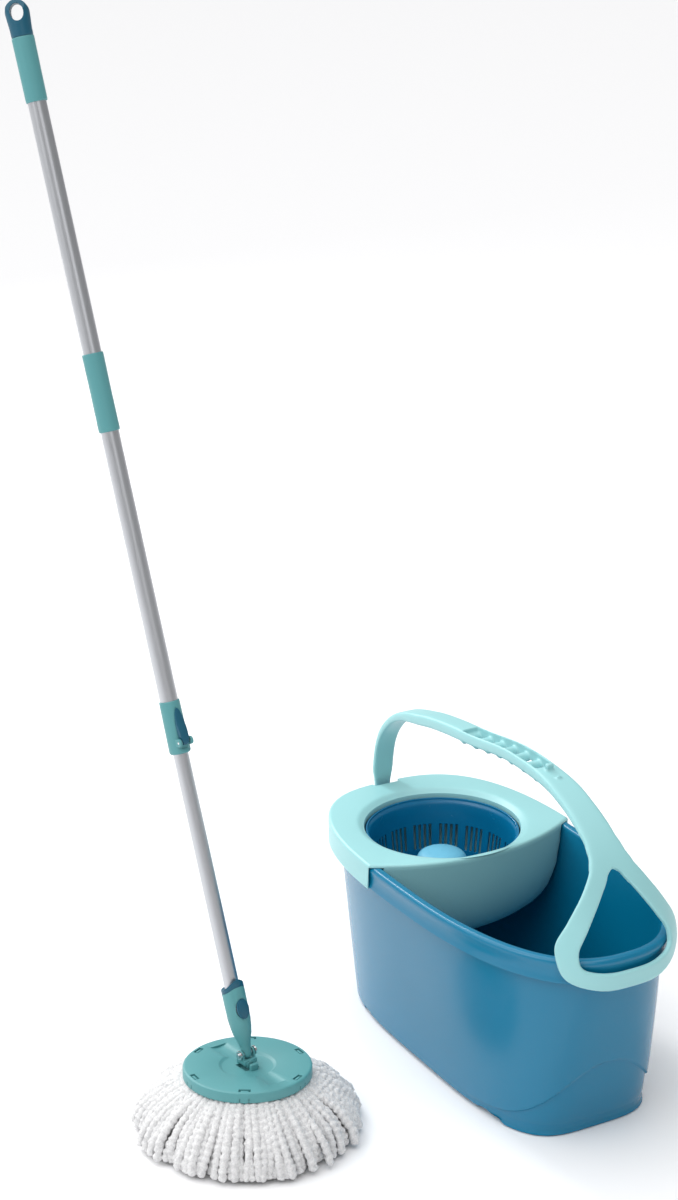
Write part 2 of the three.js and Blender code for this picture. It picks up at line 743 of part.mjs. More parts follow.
addPart('mop_disc', makeDisc(), midMint(), headGroup);
addPart('strand_ring', makeStrandRing(), midMint(), headGroup);
addPart('mop_strands', makeStrands(), yarn());

// The block tips sideways on a pin along the trough, the stick tips along the trough on a pin
// across the block.  Both rest angles follow from the direction in which the stick leans.
const leanInHead = stickLean.clone().applyQuaternion(headGroup.quaternion.clone().invert());
const blockGroup = new THREE.Group();
blockGroup.position.set(0, 0, blockPinHeight);
blockGroup.rotation.x = Math.atan2(-leanInHead.y, leanInHead.z);
headGroup.add(blockGroup);
const leanInBlock = leanInHead.clone().applyAxisAngle(new THREE.Vector3(1, 0, 0), -blockGroup.rotation.x);
const stick = new THREE.Group();
stick.position.set(0, 0, crossHeight);
stick.rotation.y = Math.atan2(leanInBlock.x, leanInBlock.z);
blockGroup.add(stick);

function makeBlock() {
  let solid = toSolid(alongX(rod(6.2, -blockHalfLength, blockHalfLength, 24)));
  const seatTop = crossHeight - tongueRound - gap;
  const seat = toSolid(box(-blockHalfLength + 1, blockHalfLength - 1, -earOuter, earOuter, 1, seatTop));
  solid = solid.add(seat);
  for (const side of [-1, 1]) {
    const [y0, y1] = [side * (tongueHalf + gap), side * earOuter].sort((low, high) => low - high);
    solid = solid.add(toSolid(box(-5, 5, y0, y1, 1, crossHeight)));
    solid = solid.add(toSolid(alongY(rod(5, y0, y1, 24)).translate(0, 0, crossHeight)));
  }
  solid = solid.subtract(toSolid(alongX(rod(blockPinRadius + gap, -20, 20, 16))));
  const swivelHole = alongY(rod(swivelPinRadius + gap, -20, 20, 16)).translate(0, 0, crossHeight);
  return toGeometry(solid.subtract(toSolid(swivelHole)));
}

const blockPinHalf = blockHalfLength + 6.5;
addPart('swivel_block', makeBlock(), midMint(), blockGroup);
const blockPin = alongX(rod(blockPinRadius, -blockPinHalf, blockPinHalf, 16)).translate(0, 0, blockPinHeight);
addPart('block_pin', blockPin, steel(), headGroup);

// ---------- stick: everything is placed along it from the swivel pin ----------
// Cylinder that scoops the sleeve's upper end: low at the back, high above the button.
function scoop(x, bottom, radius) {
  return toSolid(alongY(rod(radius, -20, 20, 48)).translate(x, 0, bottom + radius));
}

function makeSleeve() {
  const profile = [
    [0, -tongueRound], [3.4, -tongueRound + 0.9], [5.4, -3], [6, 0], [6.2, 6], [7.6, 13], [8.8, 17],
    [11.4, 25], [12.8, 33],
    [sleeveRadius - 0.2, 44], [sleeveRadius, 60], [sleeveRadius, sleeveTop], [0, sleeveTop],
  ];
  let solid = toSolid(turned(profile));
  solid = solid.subtract(toSolid(rod(lowerTubeRadius + gap, lowerTubeBottom - gap, sleeveTop + 1)));
  for (const side of [-1, 1]) {
    const [y0, y1] = [side * tongueHalf, side * 16].sort((low, high) => low - high);
    solid = solid.subtract(toSolid(box(-16, 16, y0, y1, -11, 10)));
  }
  solid = solid.subtract(toSolid(alongY(rod(swivelPinRadius + gap, -20, 20, 16))));
  const window = rod(1, 5, 20, 24).scale(12.6, 8.4, 1);
  solid = solid.subtract(toSolid(alongX(window).translate(0, 0, buttonHeight)));
  return toGeometry(solid.subtract(scoop(scoopX, scoopBottom, scoopRadius)));
}

function makeButton() {
  const face = alongX(rod(1, 12.4, 15.4, 24).scale(12.6 - gap, 8.4 - gap, 1));
  const dome = alongX(rod(1, 15.3, 16.2, 24).scale(10.6, 6.6, 1));
  const peg = alongX(rod(2.4, 8.6, 12.6, 12));
  const springRoom = alongX(rod(5, 12, 12.1 + buttonTravel + gap, 20));
  const longPeg = alongX(rod(2.4, 12, 15, 12));
  const shell = toSolid(face).add(toSolid(dome)).subtract(toSolid(springRoom));
  const solid = shell.add(toSolid(peg)).add(toSolid(longPeg));
  return toGeometry(solid).translate(0, 0, buttonHeight);
}

function makeButtonSpring() {
  const turns = 2;
  const points = Array.from({ length: turns * 10 + 1 }, (_, i) => {
    const angle = (i * 2 * Math.PI) / 10;
    return new THREE.Vector3(9.9 + (1.9 * i) / (turns * 10), 3.6 * Math.cos(angle), 3.6 * Math.sin(angle));
  });
  const wire = new THREE.Shape().absarc(0, 0, 0.3, 0, 2 * Math.PI, false);
  const extrudePath = new THREE.CatmullRomCurve3(points);
  const coil = new THREE.ExtrudeGeometry(wire, { steps: 20, curveSegments: 2, extrudePath });
  return closed(coil).translate(0, 0, buttonHeight);
}

function makeLowerTube() {
  const pipe = tube(lowerTubeRadius - tubeWall, lowerTubeRadius, lowerTubeBottom, lowerTubeTop);
  const hole = alongX(rod(3.2, 5, 12, 16)).translate(0, 0, buttonHeight);
  return toGeometry(toSolid(pipe).subtract(toSolid(hole)));
}

function makeCollar() {
  const bore = lowerTubeRadius + gap;
  const ring = (bottom, top) => toSolid(turned([
    [bore, bottom], [sleeveRadius, bottom], [sleeveRadius, top - 1.5], [sleeveRadius - 1.2, top], [bore, top],
  ]));
  const hollow = scoop(scoopX, scoopBottom + gap, scoopRadius - gap);
  const low = ring(scoopBottom - 4, sleeveTop + 2).intersect(hollow);
  const solid = low.add(ring(sleeveTop + gap, collarTop));
  return toGeometry(solid.subtract(scoop(collarScoop.x, collarScoop.bottom, collarScoop.radius)));
}

addPart('handle_sleeve', makeSleeve(), midMint(), stick);
addPart('sleeve_collar', makeCollar(), petrol(), stick);
addPart('release_button', makeButton(), petrol(), stick);
addPart('button_spring', makeButtonSpring(), steel(), stick);
addPart('lower_tube', makeLowerTube(), aluminium(), stick);

const pinReach = earOuter + 4.4;
addPart('swivel_pin', alongY(rod(swivelPinRadius, -pinReach, pinReach, 16)), steel(), stick);
for (const [name, side] of [['pin_washer_left', -1], ['pin_washer_right', 1]]) {
  const washer = tube(swivelPinRadius + gap, 5.6, earOuter + 0.6, earOuter + 2.6, 20);
  if (side < 0) washer.rotateX(Math.PI);
  addPart(name, alongY(washer), steel(), stick);
}

// drive: a nut in a carrier at the lower tube's top, on a twisted spindle
const carrierBore = 6.5;
const carrierBottom = lowerTubeTop - 28;
const carrierProfile = [
  [carrierBore, carrierBottom], [lowerTubeRadius - tubeWall - gap, carrierBottom],
  [lowerTubeRadius - tubeWall - gap, lowerTubeTop + gap],
  [mainTubeRadius - tubeWall - gap, lowerTubeTop + gap],
  [mainTubeRadius - tubeWall - gap, lowerTubeTop + 6], [5.2, lowerTubeTop + 6], [5.2, lowerTubeTop + 4],
  [carrierBore, lowerTubeTop + 4],
];
addPart('nut_carrier', turned(carrierProfile), innerGrey(), stick);
addPart('spindle_nut', tube(5, carrierBore - gap, lowerTubeTop - 22, lowerTubeTop + 3.5), steel(), stick);

function makeSpindle() {
  const length = spindleTop - spindleBottom;
  const steps = Math.round(length / 7);
  const half = spindleSide / 2;
  const rings = Array.from({ length: steps + 1 }, (_, i) => {
    const rise = (length * i) / steps;
    const turn = (2 * Math.PI * rise) / spindlePitch;
    return [[1, 1], [-1, 1], [-1, -1], [1, -1]].map(([x, y]) => {
      const corner = new THREE.Vector3(x * half, y * half, 0);
      return corner.applyAxisAngle(up, turn).setZ(spindleBottom + rise);
    });
  });
  return closed(loft(rings, [middleOf(rings[0]), middleOf(rings[steps])]));
}

addPart('drive_spindle', makeSpindle(), steel(), stick);
const plugRadius = mainTubeRadius - tubeWall - gap;
addPart('spindle_anchor', tube(spindleSide * Math.SQRT1_2 + gap, plugRadius, 638, 660), innerGrey(), stick);

// upper assembly
const mainTubeBottom = lockBottom + 8;
const stickTube = (bottom, top) => tube(mainTubeRadius - tubeWall, mainTubeRadius, bottom, top);
addPart('main_tube', stickTube(mainTubeBottom, mainTubeTop), aluminium(), stick);

const leverSeat = mainTubeRadius + 1.1;
const leverHeel = 3.6;
const leverPin = { x: leverSeat + gap + leverHeel, z: lockBottom + 14, radius: 1.5 };
function leverPinHole() {
  return alongY(rod(leverPin.radius + gap, -12, 12, 12)).translate(leverPin.x, 0, leverPin.z);
}

function makeLockHousing() {
  const outer = [
    [lowerTubeRadius + gap, lockBottom], [lockRadius - 1, lockBottom], [lockRadius + 0.4, lockBottom + 2],
    [lockRadius, lockBottom + 26], [lockRadius - 0.3, lockTop - 1], [lockRadius - 1, lockTop],
    [mainTubeRadius + gap, lockTop], [mainTubeRadius + gap, mainTubeBottom - gap],
    [lowerTubeRadius + gap, mainTubeBottom - gap],
  ];
  let solid = toSolid(turned(outer));
  const boreCutter = toSolid(rod(mainTubeRadius + gap, mainTubeBottom - gap, lockTop + 1));
  const guide = toSolid(rod(lowerTubeRadius + gap, lockBottom - 1, lockTop + 1));
  for (const side of [-1, 1]) {
    const [y0, y1] = [side * 6.3, side * 9.2].sort((low, high) => low - high);
    const ear = alongY(rod(4.8, y0, y1, 20)).translate(leverPin.x, 0, leverPin.z);
    const root = box(8, leverPin.x, y0, y1, leverPin.z - 4.8, leverPin.z + 4.8);
    solid = solid.add(toSolid(ear)).add(toSolid(root).subtract(boreCutter).subtract(guide));
  }
  const seat = box(leverSeat, 24, -6, 6, leverPin.z - 8, lockTop - 8);
  return toGeometry(solid.subtract(toSolid(seat)).subtract(toSolid(leverPinHole())));
}

function makeLever() {
  const half = 5.7;
  const inner = leverSeat + gap;
  const tip = lockTop - 9;
  const outline = new THREE.Shape();
  outline.moveTo(inner, tip);
  outline.lineTo(inner, leverPin.z);
  outline.absarc(leverPin.x, leverPin.z, leverHeel, Math.PI, 2 * Math.PI, false);
  outline.quadraticCurveTo(leverPin.x + leverHeel, leverPin.z + 10, inner + 3, tip - 16);
  outline.quadraticCurveTo(inner + 2, tip - 4, inner + 1, tip);
  const side = new THREE.ExtrudeGeometry(outline, { depth: 2 * half, bevelEnabled: false, curveSegments: 6 });
  // drawn in X and Z, so the extrusion is stood up and centred on Y
  side.rotateX(Math.PI / 2).translate(0, half, 0);
  const low = leverPin.z - 2 * leverHeel;
  const plan = alongX(rod(1, 5, 30, 32).scale((tip - low) / 2, half, 1)).translate(0, 0, (tip + low) / 2);
  return toGeometry(toSolid(side).intersect(toSolid(plan)).subtract(toSolid(leverPinHole())));
}

addPart('lock_housing', makeLockHousing(), midMint(), stick);
addPart('lock_lever', makeLever(), petrol(), stick);
const leverPinRod = alongY(rod(leverPin.radius, -9.2, 9.2, 12)).translate(leverPin.x, 0, leverPin.z);
addPart('lever_pin', leverPinRod, steel(), stick);

const gripBore = mainTubeRadius + gap;
const middleGripProfile = [
  [gripBore, middleGripBottom], [middleGripRadius - 0.4, middleGripBottom],
  [middleGripRadius, middleGripBottom + 4],
  [middleGripRadius - 0.2, (middleGripBottom + middleGripTop) / 2], [middleGripRadius, middleGripTop - 4],
  [middleGripRadius - 0.4, middleGripTop], [gripBore, middleGripTop],
];
addPart('middle_grip', turned(middleGripProfile), midMint(), stick);
addPart('tube_joiner', tube(7.2, plugRadius, mainTubeTop - 42, mainTubeTop + 42), innerGrey(), stick);
const upperTubeBottom = mainTubeTop + 1;
addPart('upper_tube', stickTube(upperTubeBottom, upperTubeTop), aluminium(), stick);
const topGripProfile = [
  [gripBore, topGripBottom], [topGripRadius - 1, topGripBottom], [topGripRadius - 0.6, topGripBottom + 4],
  [topGripRadius, topGripTop - 1], [topGripRadius - 0.4, topGripTop], [gripBore, topGripTop],
];
addPart('top_grip', turned(topGripProfile), midMint(), stick);

function makeHangLoop() {
  const base = topGripTop + gap;
  const head = { z: stickLength - 15.5, radius: 14 };
  // side outline of the cap: a tapering neck and a round head
  const outline = new THREE.Shape();
  outline.moveTo(-topGripRadius + 0.4, base);
  outline.lineTo(topGripRadius - 0.4, base);
  outline.lineTo(topGripRadius - 0.6, base + 8);
  outline.quadraticCurveTo(head.radius, head.z - 8, head.radius, head.z);
  outline.absellipse(0, head.z, head.radius, 15.5, 0, Math.PI, false);
  outline.quadraticCurveTo(-head.radius, head.z - 8, -topGripRadius + 0.6, base + 8);
  const slab = new THREE.ExtrudeGeometry(outline, { depth: 28, bevelEnabled: false, curveSegments: 10 });
  slab.rotateX(Math.PI / 2).translate(0, 14, 0);
  const body = turned([
    [0, base], [topGripRadius - 0.4, base], [topGripRadius, base + 3], [topGripRadius, base + 6],
    [13.4, base + 14], [14.6, head.z], [14.6, stickLength + 1], [0, stickLength + 1],
  ]);
  let solid = toSolid(body).intersect(toSolid(slab));
  for (const side of [-1, 1]) {
    const shave = alongX(rod(40, -20, 20, 40)).translate(0, side * 46, stickLength + 8);
    solid = solid.subtract(toSolid(shave));
  }
  const hole = alongY(rod(1, -20, 20, 20).scale(8, 10.25, 1)).translate(0, 0, head.z + 0.6);
  solid = solid.subtract(toSolid(hole));
  const stubRadius = plugRadius;
  solid = solid.add(toSolid(rod(stubRadius, topGripTop - 26, base + 1)));
  return toGeometry(solid).rotateZ(THREE.MathUtils.degToRad(56));
}

addPart('hang_loop', makeHangLoop(), petrol(), stick);

// ---------- origin at the middle of the underside ----------
set.updateMatrixWorld(true);
const extent = new THREE.Box3();
set.traverse((piece) => {
  if (piece.isMesh) extent.union(new THREE.Box3().setFromObject(piece, true));
});
const middle = extent.getCenter(new THREE.Vector3());
set.position.set(-middle.x, -middle.y, -extent.min.z);
set.updateMatrixWorld(true);

export default set;
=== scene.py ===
import bisect
import json
import math
import random
import bmesh
import bpy
from mathutils import Matrix, Vector, noise


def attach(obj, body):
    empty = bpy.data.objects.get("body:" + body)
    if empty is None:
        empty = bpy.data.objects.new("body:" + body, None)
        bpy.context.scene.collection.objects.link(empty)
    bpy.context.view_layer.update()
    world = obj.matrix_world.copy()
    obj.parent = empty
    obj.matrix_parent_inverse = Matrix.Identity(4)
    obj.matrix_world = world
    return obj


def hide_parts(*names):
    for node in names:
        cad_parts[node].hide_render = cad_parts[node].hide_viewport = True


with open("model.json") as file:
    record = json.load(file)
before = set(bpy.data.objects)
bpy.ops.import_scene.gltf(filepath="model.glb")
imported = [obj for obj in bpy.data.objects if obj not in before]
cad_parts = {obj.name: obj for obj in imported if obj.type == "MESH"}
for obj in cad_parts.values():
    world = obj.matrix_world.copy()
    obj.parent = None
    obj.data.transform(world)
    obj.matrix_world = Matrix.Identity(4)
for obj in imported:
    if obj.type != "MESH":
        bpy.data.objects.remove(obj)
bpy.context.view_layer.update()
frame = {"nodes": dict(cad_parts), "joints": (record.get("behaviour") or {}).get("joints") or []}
mm = 0.001
fullTurn = 2 * math.pi
random.seed(11)
scene = bpy.context.scene
joints = {joint["name"]: joint for joint in frame["joints"]}


# ---- places, all from the frame ----
def jointPlace(name):
    return Vector(joints[name]["pos_m"])


def jointAxis(name):
    return Vector(joints[name]["axis"]).normalized()


def axesMatrix(origin, xAxis, yAxis, zAxis):
    turned = Matrix((xAxis, yAxis, zAxis)).transposed().to_4x4()
    return Matrix.Translation(origin) @ turned @ Matrix.Scale(mm, 4)


basketCentre = -130  # of the basket's axis, in the bucket's own millimetres
basketPlace = jointPlace("basket_spin")
bucketOrigin = Vector((basketPlace.x - basketCentre * mm, basketPlace.y, 0))
onBucket = Matrix.Translation(bucketOrigin) @ Matrix.Scale(mm, 4)
onBasket = Matrix.Translation((basketPlace.x, basketPlace.y, 0)) @ Matrix.Scale(mm, 4)

stickAxis = jointAxis("head_spin")
swivelAxis = jointAxis("stick_tilt")
stickSide = swivelAxis.cross(stickAxis).normalized()
onStick = axesMatrix(jointPlace("stick_tilt"), stickSide, swivelAxis, stickAxis)

# The disc rests on its cords, tipped by tilt towards lean, with its pin a little above its face.
headPose = {"tilt": math.radians(3.8), "lean": math.radians(150.8), "pinHeight": 2}
headUp = Vector((
    math.sin(headPose["tilt"]) * math.cos(headPose["lean"]),
    math.sin(headPose["tilt"]) * math.sin(headPose["lean"]),
    math.cos(headPose["tilt"])))
troughAxis = jointAxis("block_tilt")
headOrigin = jointPlace("block_tilt") - headUp * headPose["pinHeight"] * mm
onHead = axesMatrix(headOrigin, troughAxis, headUp.cross(troughAxis).normalized(), headUp)


# ---- mesh helpers ----
def onlySelect(*pieces):
    bpy.ops.object.select_all(action="DESELECT")
    for piece in pieces:
        piece.select_set(True)
    bpy.context.view_layer.objects.active = pieces[0]


def applyModifier(piece, kind, **values):
    onlySelect(piece)
    modifier = piece.modifiers.new(kind.lower(), kind)
    for key, value in values.items():
        setattr(modifier, key, value)
    bpy.ops.object.modifier_apply(modifier=modifier.name)


def editMesh(piece, operation, **values):
    onlySelect(piece)
    bpy.ops.object.mode_set(mode="EDIT")
    bpy.ops.mesh.select_all(action="SELECT")
    operation(**values)
    bpy.ops.object.mode_set(mode="OBJECT")


def cleanFaces(piece, distance=0.01 * mm):
    editMesh(piece, bpy.ops.mesh.remove_doubles, threshold=distance)
    editMesh(piece, bpy.ops.mesh.normals_make_consistent, inside=False)


# A circle is extruded ring by ring, and each new ring is put where ring(turn) says.
# Its ends are capped, joined to each other, or left open.
def ringPiece(name, turns, rings, place, ends="cap"):
    bpy.ops.object.select_all(action="DESELECT")
    bpy.ops.mesh.primitive_circle_add(vertices=len(turns), radius=1)
    piece = bpy.context.object
    piece.name = name
    mark = piece.data.attributes.new("turn", "FLOAT", "POINT")
    for number, turn in enumerate(turns):
        mark.data[number].value = turn
    bpy.ops.object.mode_set(mode="EDIT")
    bpy.ops.mesh.select_all(action="SELECT")
    for number, ring in enumerate(rings):
        if number:
            bpy.ops.mesh.extrude_region_move()
        shape = bmesh.from_edit_mesh(piece.data)
        layer = shape.verts.layers.float["turn"]
        for vertex in shape.verts:
            if vertex.select:
                vertex.co = ring(vertex[layer])
        bmesh.update_edit_mesh(piece.data)
    bpy.ops.mesh.select_all(action="SELECT")
    if ends == "cap":
        bpy.ops.mesh.fill_holes(sides=0)
    if ends == "join":
        bpy.ops.mesh.select_mode(type="EDGE")
        bpy.ops.mesh.select_all(action="DESELECT")
        bpy.ops.mesh.select_non_manifold()
        bpy.ops.mesh.bridge_edge_loops()
        bpy.ops.mesh.select_mode(type="VERT")
    bpy.ops.mesh.select_all(action="SELECT")
    bpy.ops.mesh.normals_make_consistent(inside=False)
    bpy.ops.object.mode_set(mode="OBJECT")
    piece.data.attributes.remove(piece.data.attributes["turn"])
    piece.data.transform(place)
    return piece


def evenTurns(count):
    return [number / count for number in range(count)]


def roundRing(radius, height):
    def ring(turn):
        angle = fullTurn * turn
        return Vector((radius * math.cos(angle), radius * math.sin(angle), height))
    return ring


def turnedPiece(name, profile, place, sides=96, ends="cap"):
    return ringPiece(name, evenTurns(sides), [roundRing(r, z) for r, z in profile], place, ends)


def rounded(piece, width, angle=35, segments=3):
    applyModifier(
        piece, "BEVEL", width=width * mm, segments=segments, limit_method="ANGLE",
        angle_limit=math.radians(angle), use_clamp_overlap=True)


def smoothed(piece, angle=40):
    onlySelect(piece)
    bpy.ops.object.shade_smooth_by_angle(angle=math.radians(angle))


def cutAway(piece, cutter):
    applyModifier(piece, "BOOLEAN", operation="DIFFERENCE", object=cutter, solver="EXACT")
    bpy.data.objects.remove(cutter)


def joined(pieces, name):
    onlySelect(*pieces)
    bpy.ops.object.join()
    pieces[0].name = name
    return pieces[0]


def block(name, x, y, z, place):
    bpy.ops.object.select_all(action="DESELECT")
    bpy.ops.mesh.primitive_cube_add(size=1)
    piece = bpy.context.object
    piece.name = name
    size = Matrix.Diagonal((x[1] - x[0], y[1] - y[0], z[1] - z[0], 1))
    middle = Matrix.Translation(((x[0] + x[1]) / 2, (y[0] + y[1]) / 2, (z[0] + z[1]) / 2))
    piece.data.transform(place @ middle @ size)
    return piece


# A merged, softened copy of a CAD node, for small machined shapes.
def softCopy(node, width, angle=30):
    piece = bpy.data.objects.new(node + "_finished", frame["nodes"][node].data.copy())
    scene.collection.objects.link(piece)
    cleanFaces(piece, 0.02 * mm)
    editMesh(piece, bpy.ops.mesh.dissolve_limited, angle_limit=math.radians(1.5))
    rounded(piece, width, angle, 2)
    smoothed(piece, angle)
    return piece


def settle(piece, body, slot, material, *nodes):
    piece.data.materials.clear()
    piece.data.materials.append(material)
    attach(piece, body)
    if nodes:
        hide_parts(*nodes)
    return piece


# ---- materials ----
def linear(red, green, blue):
    def channel(value):
        share = value / 255
        return share / 12.92 if share <= 0.04045 else ((share + 0.055) / 1.055) ** 2.4
    return (channel(red), channel(green), channel(blue), 1)


# Each input gets a value, or a link from another node's output.
def feed(tree, node, inputs):
    for key, value in inputs.items():
        if isinstance(value, bpy.types.NodeSocket):
            tree.links.new(value, node.inputs[key])
        else:
            node.inputs[key].default_value = value


def addNode(tree, kind, inputs=None, **values):
    node = tree.nodes.new(kind)
    for key, value in values.items():
        setattr(node, key, value)
    feed(tree, node, inputs or {})
    return node


def scaledSum(tree, value, factor, added):
    inputs = {0: value, 1: factor, 2: added}
    return addNode(tree, "ShaderNodeMath", inputs, operation="MULTIPLY_ADD").outputs[0]


def noiseOver(tree, place, scale, detail, distortion=0):
    inputs = {"Vector": place, "Scale": scale, "Detail": detail, "Distortion": distortion}
    return addNode(tree, "ShaderNodeTexNoise", inputs)


# a noise's value, moved to swing round zero
def swing(tree, texture):
    inputs = {0: texture.outputs["Fac"], 1: 0.5}
    return addNode(tree, "ShaderNodeMath", inputs, operation="SUBTRACT").outputs[0]


def shaded(tree, colour, value):
    return addNode(tree, "ShaderNodeHueSaturation", {"Color": colour, "Value": value}).outputs["Color"]


# A surface group takes colours and numbers, and gives a colour, a roughness and a height for the bump.
def newGroup(name, colours, numbers):
    group = bpy.data.node_groups.new(name, "ShaderNodeTree")
    for kind, values in (("NodeSocketColor", colours), ("NodeSocketFloat", numbers)):
        for socket, value in values.items():
            made = group.interface.new_socket(socket, in_out="INPUT", socket_type=kind)
            made.default_value = value
    group.interface.new_socket("Colour", in_out="OUTPUT", socket_type="NodeSocketColor")
    for socket in ("Roughness", "Height"):
        group.interface.new_socket(socket, in_out="OUTPUT", socket_type="NodeSocketFloat")
    start = group.nodes.new("NodeGroupInput").outputs
    place = addNode(group, "ShaderNodeTexCoord").outputs["Object"]
    return group, start, group.nodes.new("NodeGroupOutput"), place


# moulded plastic: cloudy tone, fine spark-eroded grain, faint rub marks
def mouldedGroup():
    group, start, end, place = newGroup(
        "mouldedSkin", {"Colour": (0.5, 0.5, 0.5, 1)},
        {"Tone": 0.04, "Roughness": 0.4, "Rub": 0.06, "Grain Scale": 2200.0})
    cloud = noiseOver(group, place, 14, 3)
    streak = noiseOver(group, place, 55, 5, 1.2)
    grain = noiseOver(group, place, start["Grain Scale"], 2)
    feed(group, end, {
        "Colour": shaded(group, start["Colour"], scaledSum(group, swing(group, cloud), start["Tone"], 1)),
        "Roughness": scaledSum(group, swing(group, streak), start["Rub"], start["Roughness"]),
        "Height": grain.outputs["Fac"]})
    return group


# drawn metal: fine lines along the stick, with a slow change of shine
def drawnGroup():
    group, start, end, place = newGroup(
        "drawnMetal", {"Colour": (0.8, 0.8, 0.8, 1)}, {"Roughness": 0.3, "Line Strength": 0.1})
    stretch = {"Vector": place, "Rotation": onStick.to_euler(), "Scale": (1, 1, 40)}
    along = addNode(group, "ShaderNodeMapping", stretch, vector_type="TEXTURE")
    lines = noiseOver(group, along.outputs["Vector"], 1800, 4)
    centred = swing(group, lines)
    toneSwing = 0.12
    feed(group, end, {
        "Colour": shaded(group, start["Colour"], scaledSum(group, centred, toneSwing, 1)),
        "Roughness": scaledSum(group, centred, start["Line Strength"], start["Roughness"]),
        "Height": lines.outputs["Fac"]})
    return group


# chenille cord: small loops as bumps, with painted shade darkening the hollows between the loops
def yarnGroup():
    group, start, end, place = newGroup(
        "chenilleYarn", {"Tip": (0.9, 0.9, 0.9, 1), "Hollow Shade": (0.6, 0.6, 0.6, 1)}, {"Loop Scale": 520.0})
    loops = addNode(
        group, "ShaderNodeTexVoronoi", {"Vector": place, "Scale": start["Loop Scale"]}, feature="SMOOTH_F1")
    fuzz = noiseOver(group, place, 2400, 4)
    # painted shade: the loops' hollows take the darker Hollow colour in place of real shade
    hollowShadeMask = addNode(
        group, "ShaderNodeMapRange", {"Value": loops.outputs["Distance"], "From Min": 0.15, "From Max": 0.75})
    mixed = addNode(
        group, "ShaderNodeMix",
        {"Factor": hollowShadeMask.outputs["Result"], "A": start["Tip"], "B": start["Hollow Shade"]}, data_type="RGBA")
    rough = addNode(group, "ShaderNodeMapRange", {"Value": fuzz.outputs["Fac"], "To Min": 0.82, "To Max": 1})
    loopDepth = -1.4
    feed(group, end, {
        "Colour": mixed.outputs["Result"],
        "Roughness": rough.outputs["Result"],
        "Height": scaledSum(group, loops.outputs["Distance"], loopDepth, fuzz.outputs["Fac"])})
    return group


mouldedSkin = mouldedGroup()
drawnMetal = drawnGroup()
chenilleYarn = yarnGroup()


def surfaced(name, group, values, bump, depth, shader=None):
    material = bpy.data.materials.new(name)
    material.use_nodes = True
    tree = material.node_tree
    skin = addNode(tree, "ShaderNodeGroup", node_tree=group)
    feed(tree, skin, values)
    lift = addNode(
        tree, "ShaderNodeBump", {"Strength": bump, "Distance": depth * mm, "Height": skin.outputs["Height"]})
    feed(tree, tree.nodes["Principled BSDF"], {
        "Base Color": skin.outputs["Colour"], "Roughness": skin.outputs["Roughness"],
        "Normal": lift.outputs["Normal"], **(shader or {})})
    return material


def plastic(name, colour, roughness, tone=0.05, rub=0.08, grain=2200.0, bump=0.1):
    values = {"Colour": colour, "Tone": tone, "Roughness": roughness, "Rub": rub, "Grain Scale": grain}
    return surfaced(name, mouldedSkin, values, bump, 0.05)


def metal(name, colour, roughness, lines):
    values = {"Colour": colour, "Roughness": roughness, "Line Strength": lines}
    return surfaced(name, drawnMetal, values, 0.06, 0.02, {"Metallic": 1.0})


finish = {
    "bucket": plastic("bucketBlue", linear(2, 117, 154), 0.25, rub=0.08),
    "paleMint": plastic("paleMint", linear(155, 210, 213), 0.38),
    "midMint": plastic("midMint", linear(88, 154, 158), 0.46, grain=1600.0, bump=0.16),
    "deepBlue": plastic("deepBlue", linear(2, 112, 156), 0.26),
    "skyBlue": plastic("skyBlue", linear(104, 184, 214), 0.5),
    "petrol": plastic("petrol", linear(14, 88, 112), 0.42, grain=1600.0, bump=0.16),
    "innerGrey": plastic("innerGrey", linear(186, 188, 190), 0.5),
    "aluminium": metal("aluminium", linear(198, 200, 204), 0.38, 0.2),
    "steel": metal("steel", linear(222, 222, 224), 0.12, 0.05),
    "yarn": surfaced(
        "microfibreYarn", chenilleYarn,
        # the darker Hollow colour is painted shade for the hollows between the loops
        {"Tip": linear(234, 234, 234), "Hollow Shade": linear(206, 206, 208), "Loop Scale": 520.0},
        0.4, 0.7, {"Sheen Weight": 0.5, "Sheen Roughness": 0.6}),
}
print("materials made")


# ---- bucket ----
bucketShape = {
    "rimOval": {"centre": 6, "halfLength": 284, "halfWidth": 147, "front": 2.5, "rear": 2.8, "taper": 0.045},
    "baseOval": {"centre": 3, "halfLength": 236, "halfWidth": 111, "front": 4, "rear": 3.5, "taper": 0},
    "height": 256,
    "wall": 2.5,
    "lip": 10,
    "lipDrop": 30,
    "floor": 5.5,
    "points": 224,
    "pivot": (-287, 238),  # the carry handle's, at the rear lugs
    "lug": {"across": (13.3, 18.5), "back": 6, "into": 2, "up": 8, "round": 2.2},
    "slot": {"x": (-140, 148), "half": 11, "inward": 9, "outward": 8, "z": (-2, 8.6)},
    "foot": {"inset": 1.5, "rise": 5.2, "between": (-150, 178), "ease": 5, "flatHalf": 30},
    "swoosh": {
        "peak": 97, "low": 14, "depth": 3, "halfWidth": 112, "power": 1.15, "step": (-1.3, 0.7),
        "start": 90, "full": 190},
    "footRings": [(3.4, 40), (3, 17), (0.4, 14), (0, 12), (0, 3), (0.6, 0.8), (2.2, -0.6)],  # height, inset
    "stepHeights": [6.5, 9] + [12 + 1.25 * number for number in range(74)],
    "outerHeights": [110, 130, 150, 170, 190, 210, 222, 234, 246, 252],
    "rimRings": [  # inset, drop below the rim
        (2.6, 4), (2.6, 29.4), (2.2, 30), (0.6, 30), (0, 29.3), (0.1, 27), (1.1, 24), (1.5, 19), (1.4, 14),
        (0.7, 10), (0.1, 7.5), (0, 5.5), (0.5, 3.2), (1.8, 1.2), (3.6, 0.2), (5.2, 0)],
    "mouthRings": [(-1.2, 0), (1, 0.6), (2.1, 2), (2.5, 4.5)],  # inset, drop below the rim
    "innerHeights": [230, 200, 160, 120, 80, 50, 28, 19],
    "floorRings": [(1, 8), (4, 3), (8, 0.8), (14, 0)],  # inset from the wall, rise over the floor
}
rimOval = bucketShape["rimOval"]
bucketHeight = bucketShape["height"]
pivotX, pivotZ = bucketShape["pivot"]


